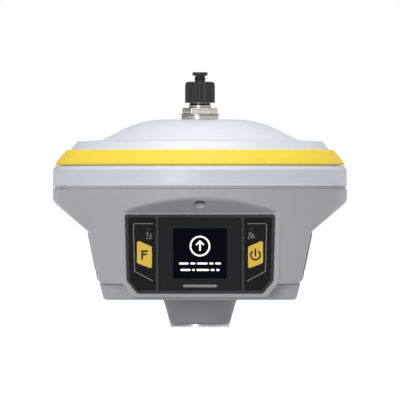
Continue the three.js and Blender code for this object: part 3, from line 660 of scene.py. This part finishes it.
# ---------------------------------------------------------------- base cover, neck and insert
def base_cover():
    """Tapered tray with rounded corners and a soft lower edge."""
    half, top = BASE_HIGH[0], BASE_HIGH[2]
    bottom = BASE_LOW[2]
    corner, lean, edge = 9, math.radians(16), 2.2

    def outline(inset):
        reach = half - inset
        return rounded([(x * reach, y * reach, corner - inset) for x, y in QUADRANTS], steps=12)

    levels = [(top + 0.25, 1.2), (top, 0)]
    for i in range(9):
        turn = lean + i / 8 * (math.pi / 2 - lean)
        height = bottom + edge * (1 - math.sin(turn))
        inset = math.tan(lean) * (top - bottom - edge) + edge * (math.cos(lean) - math.cos(turn))
        levels.append((height, inset))
    piece = loft("base", [[(x, y, height) for x, y in outline(inset)] for height, inset in levels])
    cut(piece, prism("inside", outline(4.5), "z", bottom + 2.5, top + 2))
    cut(piece, prism("neck_hole", circle((0, 0), NECK_TOP_RADIUS + 0.25, 96), "z", bottom - 1, top))
    for x in (-TRAY_SCREW, TRAY_SCREW):
        for y in (-TRAY_SCREW, TRAY_SCREW):
            cut(piece, prism("hole", circle((x, y), 3.05, 32), "z", bottom - 1, bottom + 2.2))
    return finish_piece(piece, "base_tray", "skirt", nodes=["base_cover"], smooth=32)


def pole_neck():
    bore = 11
    section = rounded([
        (0, 16.5),
        (bore, 16.5),
        (bore, NECK_LOW[2]),
        (NECK_BOTTOM_RADIUS, NECK_LOW[2], 0.25),
        (NECK_TOP_RADIUS - 0.55, 12.6, 2),
        (NECK_TOP_RADIUS + 0.1, 14, 0.3),
        (NECK_TOP_RADIUS, 14.6),
        (NECK_TOP_RADIUS, 17),
        (25, 17),
        (25, 19.5),
        (0, 19.5),
    ], closed=False, steps=6)
    neck = lathe("neck", section, 160)
    return finish_piece(neck, "neck_cone", "neck", nodes=["pole_neck"], smooth=32)


def pole_insert():
    """Metal ring with a threaded bore: one sharp ridge for each turn of the thread."""
    pitch, depth, top = 2.31, 0.9, 16.2
    threads = []
    height = 1.6
    while height + pitch < top:
        threads += [(POLE_BORE, height), (POLE_BORE - depth, height + pitch / 2)]
        height += pitch
    section = rounded([
        (POLE_BORE + 0.8, 0, 0.1),
        (NECK_BOTTOM_RADIUS, 0, 0.35),
        (NECK_BOTTOM_RADIUS, 1.5, 0.2),
        (10.7, 1.5),
        (10.7, top),
        (POLE_BORE, top),
        *reversed(threads),
        (POLE_BORE, 0.9, 0.1),
    ])
    insert = lathe("insert", section, 160)
    return finish_piece(insert, "pole_thread", "steel", nodes=["pole_insert"], smooth=28)


def screw(name, centre, bottom, height, node):
    """Pan head with a hexagon socket, seen from below."""
    shoulder, end = bottom + height, bottom + 9
    section = rounded([(0, bottom), (2.75, bottom, 0.5), (2.75, shoulder), (1.5, shoulder),
                       (1.5, end), (0, end)], closed=False)
    piece = lathe("screw", section, 48)
    cut(piece, prism("socket", circle((0, 0), 1.3, 6), "z", bottom - 1, bottom + 1.2))
    place(piece, Matrix.Translation((*centre, 0)))
    return finish_piece(piece, name, "screw", nodes=[node], smooth=30)


def screws():
    for name, turn in TURNS.items():
        screw(f"well_screw_{name}", screw_centre(turn), SCREW_SEAT - 2.5, 2.4, f"case_screw_{name}")
    for i, (x, y) in enumerate(QUADRANTS, 1):
        screw(f"tray_screw_{i}", (x * TRAY_SCREW, y * TRAY_SCREW), BASE_LOW[2] + 0.2, 2,
              f"base_screw_{i}")


# ---------------------------------------------------------------- front panel
PANEL_FRONT = BEZEL_LOW[1]
FILM_FRONT = OVERLAY_LOW[1]
FILM_BACK = OVERLAY_HIGH[1]
INK = 0.04  # how far print stands off its surface
PRINT_DEPTH = 0.07  # its thickness, so that it sinks a little into that surface


def zone_outline(side, inset):
    points = [
        (22.75 + inset, 19.2 + inset),
        (31.9 - 0.5 * inset, 19.2 + inset),
        (36 - inset, 25 + 0.5 * inset),
        (36.7 - inset, 56.5 - inset),
        (22.75 + inset, 56.5 - inset),
    ]
    return rounded([(side * x, z, 1) for x, z in points])


def key_outline(side, grow):
    points = [
        (24.55 - grow, 30.2 - grow),
        (32.3 + grow, 33.2 - grow),
        (32.3 + grow, 45.0 + grow),
        (24.55 - grow, 41.6 + grow),
    ]
    return rounded([(side * x, z, 1) for x, z in points], steps=5)


def front_bezel():
    piece = prism("bezel", panel_outline(0), "y", PANEL_FRONT, BEZEL_HIGH[1])
    ledge, start = 0.8, PANEL_FRONT - 1
    seat, through = (start, FILM_BACK + 0.1), (start, BEZEL_HIGH[1] + 1)
    cut(piece, prism("zone", rectangle(21.15, 19.2, 56.5, 1), "y", *seat),
        prism("hole", rectangle(20.35, 20, 55.7), "y", *through))
    for side in (-1, 1):
        cut(piece, prism("zone", zone_outline(side, 0), "y", *seat),
            prism("hole", zone_outline(side, ledge), "y", *through))
    bevel(piece, 0.28)
    return finish_piece(piece, "panel_frame", "bezel", nodes=["front_bezel"], smooth=32)


def film(side, name, node):
    piece = prism("film", zone_outline(side, GAP - 0.1), "y", FILM_FRONT, FILM_BACK)
    through = (FILM_FRONT - 1, FILM_BACK + 1)
    lens_hole = circle((side * LENS_CENTRE[0], LENS_CENTRE[1]), LENS_RADIUS + 0.1, 32)
    cut(piece, prism("hole", key_outline(side, 0.25), "y", *through),
        prism("hole", lens_hole, "y", *through))
    bevel(piece, 0.12, segments=2)
    return finish_piece(piece, name, "overlay", nodes=[node], smooth=32)


def stroke(name, points, width, front, closed=False):
    """A flat printed line of even width along points in (x, z), with mitred joints."""
    outline_left, outline_right = [], []
    count = len(points)
    for i, point in enumerate(points):
        here = Vector(point)
        before = Vector(points[i - 1]) if closed or i > 0 else None
        after = Vector(points[(i + 1) % count]) if closed or i < count - 1 else None
        into = (here - before).normalized() if before is not None else (after - here).normalized()
        out = (after - here).normalized() if after is not None else into
        normal_in, normal_out = Vector((-into.y, into.x)), Vector((-out.y, out.x))
        mitre = (normal_in + normal_out).normalized()
        length = width / 2 / max(mitre.dot(normal_in), 0.3)
        outline_left.append(here + mitre * length)
        outline_right.append(here - mitre * length)
    back = front + PRINT_DEPTH
    vertices = []
    for left, right in zip(outline_left, outline_right):
        for corner in (left, right):
            vertices += [(corner.x, front, corner.y), (corner.x, back, corner.y)]
    return make_mesh(name, vertices, ribbon_faces(count, closed))


def arc_points(centre, radius, start, end, steps):
    angles = [math.radians(start + (end - start) * i / steps) for i in range(steps + 1)]
    return [(centre[0] + radius * math.cos(a), centre[1] + radius * math.sin(a)) for a in angles]


def bar(name, outline, front):
    return prism(name, outline, "y", front, front + PRINT_DEPTH)


def panel_prints(side, word):
    """Silver guide line and the small symbol above a key."""
    front = FILM_FRONT - INK
    line = rounded([
        (side * 24.2, 53.4),
        (side * 34.1, 53.4, 0.7),
        (side * 33.5, 29, 0.9),
        (side * 24.2, 24.1),
    ], closed=False)
    pieces = [stroke("line", line, 0.36, front)]
    x, z = side * 26.1, 47.3
    if side < 0:
        pieces.append(bar("bar", rectangle(1.7, z - 1.6, z - 1.3, 0, x), front))
        for shift, up in ((-0.8, 1), (0.8, -1)):
            middle = z + 0.35
            tip = middle + up * 1.05
            pieces.append(stroke("shaft", [(x + shift, middle - up), (x + shift, tip)], 0.34, front))
            wing = tip - up * 0.6
            head = [(x + shift - 0.5, wing), (x + shift, tip + up * 0.1), (x + shift + 0.5, wing)]
            pieces.append(stroke("head", head, 0.3, front))
    else:
        foot = (x - 1.2, z - 1.4)
        pieces.append(bar("dot", circle(foot, 0.42, 20), front))
        for radius in (1.25, 2.1, 2.95):
            pieces.append(stroke("wave", arc_points(foot, radius, 0, 90, 14), 0.38, front))
    return finish_piece(gather("prints", pieces), f"panel_print_{word}", "print")


def key_cap(side, name, body, node):
    """Silicone key with a soft edge."""
    front, back = KEY_LOW[1], FILM_BACK + 1.1
    piece = prism("key", key_outline(side, 0), "y", front, back)
    bevel(piece, 0.35, segments=4, angle=50)
    finish_piece(piece, name, "key", body=body, nodes=[node], smooth=40)
    ink = front - INK
    x, z = side * KEY_CENTRE[0], KEY_CENTRE[1]
    if side < 0:
        half, height, weight = 1.7, 4.8, 0.88
        left, top = x - half, z + height / 2
        middle = top - 2.05
        legend = bar("legend", [
            (left, top - height), (left + weight, top - height), (left + weight, middle - weight / 2),
            (left + 2.85, middle - weight / 2), (left + 2.85, middle + weight / 2),
            (left + weight, middle + weight / 2), (left + weight, top - weight),
            (left + 2 * half, top - weight), (left + 2 * half, top), (left, top),
        ], ink)
    else:
        legend = gather("legend", [
            stroke("ring", arc_points((x, z), 2.4, 125, 415, 40), 0.83, ink),
            stroke("stem", [(x, z - 0.7), (x, z + 3.3)], 0.83, ink),
        ])
    finish_piece(legend, f"{name}_legend", "legend", body=body)


def lens(side, name, node):
    centre = (side * LENS_CENTRE[0], LENS_CENTRE[1])
    piece = prism("lens", circle(centre, LENS_RADIUS, 32), "y", FILM_FRONT - 0.05, FILM_BACK + 0.5)
    bevel(piece, 0.15, segments=2)
    return finish_piece(piece, name, "lens", nodes=[node])


def display():
    outline = rectangle(WINDOW_HIGH[0] + 0.1, WINDOW_LOW[2] - 0.1, WINDOW_HIGH[2] + 0.1, 1)
    pane = prism("pane", outline, "y", WINDOW_LOW[1], WINDOW_HIGH[1])
    bevel(pane, 0.12, segments=2)
    finish_piece(pane, "display_pane", "window", nodes=["display_window"])
    front = WINDOW_LOW[1] - INK
    screen = bar("screen", rectangle(13.8, 25.3, 51.1, 0.2), front)
    finish_piece(screen, "screen_area", "screen")

    lit = front - INK
    centre = (0, 41.9)
    shapes = [
        stroke("ring", arc_points(centre, 4.85, 0, 360, 64)[:-1], 0.85, lit, closed=True),
        stroke("shaft", [(0, 39.5), (0, 44)], 0.85, lit),
        stroke("head", [(-1.9, 42.5), (0, 44.4), (1.9, 42.5)], 0.85, lit),
    ]
    rows = [(33.0, [4.9, 2.6, 5.4, 2.2, 3.0]), (29.7, [5.2, 1.3, 6.4, 2.0, 1.7])]
    for height, words in rows:
        gap = 0.85
        left = -(sum(words) + gap * (len(words) - 1)) / 2
        for width in words:
            outline = rectangle(width / 2, height - 0.5, height + 0.5, 0.45, left + width / 2)
            shapes.append(bar("word", outline, lit))
            left += width + gap
    finish_piece(gather("lit", shapes), "screen_symbols", "lit")
    plate = bar("plate", rectangle(8.7, 20.85, 22.15, 0.6), WINDOW_LOW[1] - INK)
    finish_piece(plate, "blank_name_bar", "print")


def front_panel():
    front_bezel()
    for side, word, key in ((-1, "left", "function"), (1, "right", "power")):
        film(side, f"key_film_{word}", f"key_overlay_{word}")
        panel_prints(side, word)
        key_cap(side, f"{key}_key_cap", f"{key}_key", f"{key}_button")
        lens(side, f"lens_{word}", f"status_lens_{word}")
    display()


# ---------------------------------------------------------------- battery doors
def battery_door(word):
    matrix = door_matrix(TURNS[word])
    arc = arc_points(HINGE, HINGE_RADIUS, 135, 270, 14)
    section = [(-DOOR_THICKNESS, 3.9), *arc]
    section += [(-2.4 * (1 - t) ** 2, 2.6 * t ** 2) for t in (0.2, 0.4, 0.6, 0.8)]
    section += rounded([(0, 2.6), (0, DOOR_HEIGHT, 0.8), (-DOOR_THICKNESS, DOOR_HEIGHT)], closed=False)
    door = prism("door", section, "y", -DOOR_HALF, DOOR_HALF)
    bevel(door, 0.45)
    cut(door,
        prism("bore", circle(HINGE, PIN_RADIUS + GAP, 32), "y", -DOOR_HALF - 1, DOOR_HALF + 1),
        block("pocket", (-1.6, 2), (-LATCH_HALF - GAP, LATCH_HALF + GAP),
              (LATCH_BOTTOM - LATCH_TRAVEL - GAP, LATCH_TOP + GAP)),
        prism("line", rectangle(36, 4.6, 5.0), "x", -0.25, 1),
        prism("line", rectangle(36, 24.3, 24.7), "x", -0.25, 1))
    place(door, matrix)
    finish_piece(door, f"bay_door_{word}", "grey", body=f"{word}_door",
                 nodes=[f"battery_door_{word}"], smooth=32)

    latch = block("latch", (-1.3, -0.1), (-LATCH_HALF, LATCH_HALF), (LATCH_BOTTOM, LATCH_TOP))
    bevel(latch, 0.3)
    for rise in (1.5, 2.7, 3.9, 5.1):
        low = LATCH_BOTTOM + rise
        cut(latch, prism("groove", rectangle(LATCH_HALF - 1, low, low + 0.5, 0.2), "x", -0.5, 1))
    place(latch, matrix)
    finish_piece(latch, f"thumb_latch_{word}", "latch", body=f"{word}_latch",
                 nodes=[f"door_latch_{word}"])

    pin = prism("pin", circle(HINGE, PIN_RADIUS, 24), "y", -DOOR_HALF - 3, DOOR_HALF + 3)
    bevel(pin, 0.15, segments=2)
    place(pin, matrix)
    finish_piece(pin, f"hinge_rod_{word}", "steel", nodes=[f"door_hinge_pin_{word}"])


# ---------------------------------------------------------------- rear ports
def port_plate():
    plate = prism("plate", panel_outline(0), "y", -BEZEL_HIGH[1], FACET + 0.9)
    for x in (-PORT_X, PORT_X):
        cut(plate, prism("hole", circle((x, PORT_Z), PORT_RADIUS + 0.15, 64), "y", 50, 80))
    bevel(plate, 0.3)
    return finish_piece(plate, "rear_plate", "plate", nodes=["port_plate"])


def socket(x, pins, ring, name, node):
    floor = PORT_FACE - 5.5
    shell = prism("shell", circle((x, PORT_Z), PORT_RADIUS, 64), "y", PORT_FACE - 11, PORT_FACE)
    cut(shell, prism("bore", circle((x, PORT_Z), PORT_BORE, 64), "y", floor, PORT_FACE + 1))
    bevel(shell, 0.25)
    contacts = [shell]
    for i in range(pins):
        angle = 2 * math.pi * i / pins
        centre = (x + ring * math.cos(angle), PORT_Z + ring * math.sin(angle))
        pin = prism("pin", circle(centre, 0.5, 16), "y", floor - 0.2, floor + 4)
        bevel(pin, 0.2, segments=2)
        contacts.append(pin)
    return finish_piece(gather("socket", contacts), name, "brass", nodes=[node])


def port_cover():
    """Rubber flap on a thin strip, made thinner where the flap swings up."""
    inner, outer = PORT_FACE + 0.4, FLAP_HIGH[1]
    half, low, high = FLAP_HIGH[0], FLAP_LOW[2], FLAP_HIGH[2]
    flap = prism("flap", rectangle(half, low, high - 0.6, 4), "y", SKIRT_FOOT, outer)
    bevel(flap, 0.5)
    skirt = 1.8
    hollow = rectangle(half - skirt, low + skirt, high - 0.6 - skirt, 2.2)
    cut(flap, prism("hollow", hollow, "y", SKIRT_FOOT - 1, inner))
    field = rectangle(half - 3, low + 3, high - 3.6, 2.5)
    cut(flap, prism("field", field, "y", outer - 0.35, outer + 1))
    for x in (-PORT_X, PORT_X):
        boss = prism("boss", circle((x, PORT_Z), 6.6, 48), "y", outer - 0.6, outer)
        plug = prism("plug", circle((x, PORT_Z), PORT_BORE - 0.5, 48), "y", PORT_FACE - 1.2,
                     inner + 0.3)
        join(flap, boss, plug)
    join(flap, prism("tab", rectangle(7, low - 0.01, low + 2.6, 1.2), "y", inner + 0.2, outer))
    finish_piece(flap, "port_flap_pad", "rubber", body="port_flap", nodes=["port_cover"])

    strip_low, strip_high = high - 3.2, high + 2.8
    steps = 20
    rows = [strip_low + (strip_high - strip_low) * i / steps for i in range(steps + 1)]
    thin, back = 0.8, inner + 0.5
    vertices = []
    for height in rows:
        slim = thin * (1 - 0.45 * math.exp(-((height - high - 0.4) / 0.9) ** 2))
        for x in (-half + 5, half - 5):
            vertices += [(x, back, height), (x, back + slim, height)]
    strip = make_mesh("strip", vertices, ribbon_faces(steps + 1))
    finish_piece(strip, "port_flap_hinge", "rubber", body=None)
    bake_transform(strip)
    outline = rectangle(half - 4, high + 1.2, high + 4.2, 0.8)
    anchor = prism("anchor", outline, "y", FACET + 0.95, back + 0.85)
    bevel(anchor, 0.3)
    finish_piece(anchor, "port_flap_anchor", "rubber")


# ---------------------------------------------------------------- connector and dust cap
def connector():
    bore, seat, seat_top = BARREL_RADIUS + 0.1, 9.4, DOME_TOP + 2
    base = [(bore, DOME_TOP), (seat, DOME_TOP, 0.3), (seat, seat_top, 0.08), (bore, seat_top)]
    ring = lathe("ring", rounded(base), 96)
    finish_piece(ring, "seat_ring", "nickel", nodes=["connector_seat_ring"])
    low, high, reach, flat = WASHER_LOW[2], WASHER_HIGH[2], WASHER_HIGH[0], 9.35
    disc = [(bore, low + 0.01), (flat, low + 0.01), (reach, low + 0.32, 0.1),
            (reach, low + 0.62, 0.1), (flat, high - 0.02), (bore, high - 0.02)]
    washer = lathe("washer", rounded(disc), 96)
    finish_piece(washer, "lock_washer", "nickel", nodes=["connector_washer"])

    corners = circle((0, 0), NUT_HIGH[0], 6)
    nut = prism("nut", corners, "z", NUT_LOW[2], NUT_HIGH[2])
    bevel(nut, 0.25, angle=20)
    cut(nut, prism("bore", circle((0, 0), bore, 64), "z", 105, 115))
    finish_piece(nut, "hex_nut", "nickel", nodes=["connector_nut"], smooth=25)

    threads = []
    pitch, depth = 0.907, 0.35
    height = 116.1
    while height + pitch < 120.3:
        threads += [(5.5 - depth, height), (5.5, height + pitch / 2)]
        height += pitch
    barrel = rounded([
        (4, 98.2), (BARREL_RADIUS, 98.2), (BARREL_RADIUS, 101.4), (9, 101.4), (9, 103.9),
        (BARREL_RADIUS, 103.9), (BARREL_RADIUS, 113.2, 0.1), (BARREL_RADIUS - 0.25, 113.45, 0.1),
        (BARREL_RADIUS, 113.7, 0.1), (BARREL_RADIUS, 114.3, 0.2), (BARREL_RADIUS - 0.6, 114.9, 0.2),
        (4.8, 114.9), (4.8, 115.9), *threads, (5.1, 120.6, 0.15), (4, 120.6, 0.15),
    ])
    body = lathe("barrel", barrel, 96)
    finish_piece(body, "connector_barrel", "nickel", nodes=["connector_body"], smooth=28)


def dust_cap():
    """Cap with shallow flutes between narrow ridges, under a rounded top edge."""
    bottom, top, reach = CAP_LOW[2], CAP_HIGH[2], CAP_HIGH[0]
    edge, flutes, depth, ridge = 1.8, 12, 0.75, 0.12
    phase = math.radians(-3)
    columns = 30 * flutes
    levels = [(bottom, 0.25), (bottom + 0.12, 0.08), (bottom + 0.35, 0), (top - edge, 0)]
    for i in range(1, 13):
        turn = math.pi / 2 * i / 12
        levels.append((top - edge + edge * math.sin(turn), edge * (1 - math.cos(turn))))
    rows = []
    for height, inset in levels:
        row = []
        for i in range(columns):
            angle = 2 * math.pi * i / columns
            share = (angle + math.pi / 2 - phase) * flutes / (2 * math.pi) % 1
            across = min(share, 1 - share)
            dip = depth * (1 - ((0.5 - across) / (0.5 - ridge)) ** 2) if across > ridge else 0
            radius = min(reach - dip, reach - inset)
            row.append((radius * math.cos(angle), radius * math.sin(angle), height))
        rows.append(row)
    cap = loft("cap", rows)
    cut(cap, prism("bore", circle((0, 0), BARREL_RADIUS + GAP, 64), "z", bottom - 1, 122.1),
        prism("hole", circle((0, 0), 2.9, 48), "z", 121, top + 1))
    finish_piece(cap, "fluted_cap", "cap", body="cap_shell", nodes=["dust_cap"], smooth=26)

    peak = STUD_HIGH[2]
    stud = lathe("stud", rounded([
        (0, 121), (4, 121), (4, 121.8), (2.66, 121.8), (2.66, 127.4, 0.3), (2.9, 127.9, 0.15),
        (2.9, 128.55, 0.15), (2.5, 128.8, 0.1), (2.5, 129.5, 0.1), (3.9, 129.6, 0.25),
        (3.9, peak, 0.35), (0, peak),
    ], closed=False), 72)
    finish_piece(stud, "strap_stud", "cap", body="cap_lift", nodes=["cap_stud"], smooth=40)


# ---------------------------------------------------------------- carried-over CAD nodes
def dress(names, look):
    for name in names:
        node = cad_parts[name]
        node.data.materials.clear()
        node.data.materials.append(LOOKS[look][1])


def carried_over():
    both = ("left", "right")
    dress(["panel_gasket", "cap_gasket"] + [f"door_seal_{side}" for side in both], "rubber")
    dress([f"battery_{side}" for side in both], "pack")
    dress(["battery_cradle", "display_module"], "plate")
    dress(["main_board", "key_board"], "board")
    dress(["processor_shield", "radio_module", "function_switch", "power_switch"], "tin")
    dress(["antenna_ground_plate"], "sheet")
    dress(["antenna_lower_patch", "antenna_upper_patch"], "ceramic")
    dress(["radio_cable"], "cable")
    dress(["connector_insulator"], "ptfe")
    dress(["connector_contact"], "brass")


# ---------------------------------------------------------------- stage
ROOM_LOW = (0.368, 0.372, 0.382)
ROOM_HIGH = (0.39, 0.394, 0.404)
DARK_SIDE = (-0.82, 0.57, 0)  # direction of the unlit end of the room
FLOOR_GLOW = 0.75


def sun(name, azimuth, elevation, share, size):
    """A far soft light, azimuth from the front to the right. Share 1 lights white to full white."""
    data = bpy.data.lights.new(name, "SUN")
    data.energy = share * math.pi
    data.angle = math.radians(size)
    light = bpy.data.objects.new(name, data)
    turn, rise = math.radians(azimuth), math.radians(elevation)
    level = math.cos(rise)
    source = Vector((math.sin(turn) * level, -math.cos(turn) * level, math.sin(rise)))
    light.rotation_euler = source.to_track_quat("Z", "Y").to_euler()
    light.location = source
    bpy.context.scene.collection.objects.link(light)


def add_math(nodes, links, operation, *values):
    """A math node over two values, each a number or another node's output."""
    node = nodes.new("ShaderNodeMath")
    node.operation = operation
    for socket_in, value in zip(node.inputs, values):
        if isinstance(value, (int, float)):
            socket_in.default_value = value
        else:
            links.new(value, socket_in)
    return node.outputs["Value"]


def studio_world():
    """White behind the object, and a soft room around it whose rear left end reflects dark."""
    world = bpy.data.worlds.new("studio")
    bpy.context.scene.world = world
    world.use_nodes = True
    nodes, links = world.node_tree.nodes, world.node_tree.links
    backdrop = nodes["Background"]
    backdrop.inputs["Color"].default_value = (1, 1, 1, 1)
    backdrop.inputs["Strength"].default_value = 1
    room = nodes.new("ShaderNodeBackground")
    direction = nodes.new("ShaderNodeTexCoord").outputs["Generated"]
    parts = nodes.new("ShaderNodeSeparateXYZ")
    links.new(direction, parts.inputs["Vector"])
    ramp = nodes.new("ShaderNodeValToRGB")
    ramp.color_ramp.elements[0].position = 0.3
    ramp.color_ramp.elements[0].color = (*ROOM_LOW, 1)
    ramp.color_ramp.elements[1].position = 0.75
    ramp.color_ramp.elements[1].color = (*ROOM_HIGH, 1)
    lifted = nodes.new("ShaderNodeMapRange")
    lifted.inputs["From Min"].default_value = -1
    links.new(parts.outputs["Z"], lifted.inputs["Value"])
    links.new(lifted.outputs["Result"], ramp.inputs["Fac"])
    links.new(ramp.outputs["Color"], room.inputs["Color"])
    facing = nodes.new("ShaderNodeVectorMath")
    facing.operation = "DOT_PRODUCT"
    facing.inputs[1].default_value = DARK_SIDE
    links.new(direction, facing.inputs[0])
    shade = nodes.new("ShaderNodeMapRange")
    shade.interpolation_type = "SMOOTHSTEP"
    shade.inputs["From Min"].default_value = 0.3
    shade.inputs["From Max"].default_value = 0.9
    shade.inputs["To Max"].default_value = 0.95
    links.new(facing.outputs["Value"], shade.inputs["Value"])
    seen = nodes.new("ShaderNodeLightPath")
    mirrored = add_math(nodes, links, "MULTIPLY", shade.outputs["Result"], seen.outputs["Is Glossy Ray"])
    links.new(add_math(nodes, links, "SUBTRACT", 1, mirrored), room.inputs["Strength"])
    mix = nodes.new("ShaderNodeMixShader")
    links.new(seen.outputs["Is Camera Ray"], mix.inputs["Fac"])
    links.new(room.outputs["Background"], mix.inputs[1])
    links.new(backdrop.outputs["Background"], mix.inputs[2])
    links.new(mix.outputs["Shader"], nodes["World Output"].inputs["Surface"])


def stage():
    scene = bpy.context.scene
    scene.view_settings.view_transform = "Standard"

    floor_size, floor_drop = 14, 0.0002
    bpy.ops.mesh.primitive_plane_add(size=floor_size, location=(0, 0, -floor_drop))
    floor = bpy.context.object
    floor.name = "floor"
    floor.visible_diffuse = False
    floor.data.materials.append(surface("floor_white", (250, 250, 250), 0.9, variation=0.004))
    shader = floor.data.materials[0].node_tree.nodes["Principled BSDF"]
    shader.inputs["Emission Color"].default_value = (1, 1, 1, 1)
    shader.inputs["Emission Strength"].default_value = FLOOR_GLOW
    shader.inputs["Specular IOR Level"].default_value = 0
    studio_world()

    sun("key", azimuth=-19, elevation=8, share=0.3, size=20)
    sun("top", azimuth=0, elevation=88, share=0.63, size=50)
    sun("right_fill", azimuth=95, elevation=5, share=0.055, size=60)

    data = bpy.data.cameras.new("camera")
    data.sensor_width = 36
    distance, frame_width, height = 8.5, 0.2063, 0.0655
    data.lens = data.sensor_width * distance / frame_width
    data.clip_end = 60
    camera = bpy.data.objects.new("camera", data)
    camera.location = (0, -distance, height)
    camera.rotation_euler = (math.pi / 2, 0, 0)
    scene.collection.objects.link(camera)
    scene.camera = camera


# ---------------------------------------------------------------- build
lower_housing()
top_cover()
bumper()
seam_seal()
base_cover()
pole_neck()
pole_insert()
screws()
front_panel()
for side in ("left", "right"):
    battery_door(side)
port_plate()
socket(PORT_X, 7, 4, "socket_data", "data_port")
socket(-PORT_X, 5, 3.6, "socket_power", "power_port")
port_cover()
connector()
dust_cap()
carried_over()
stage()
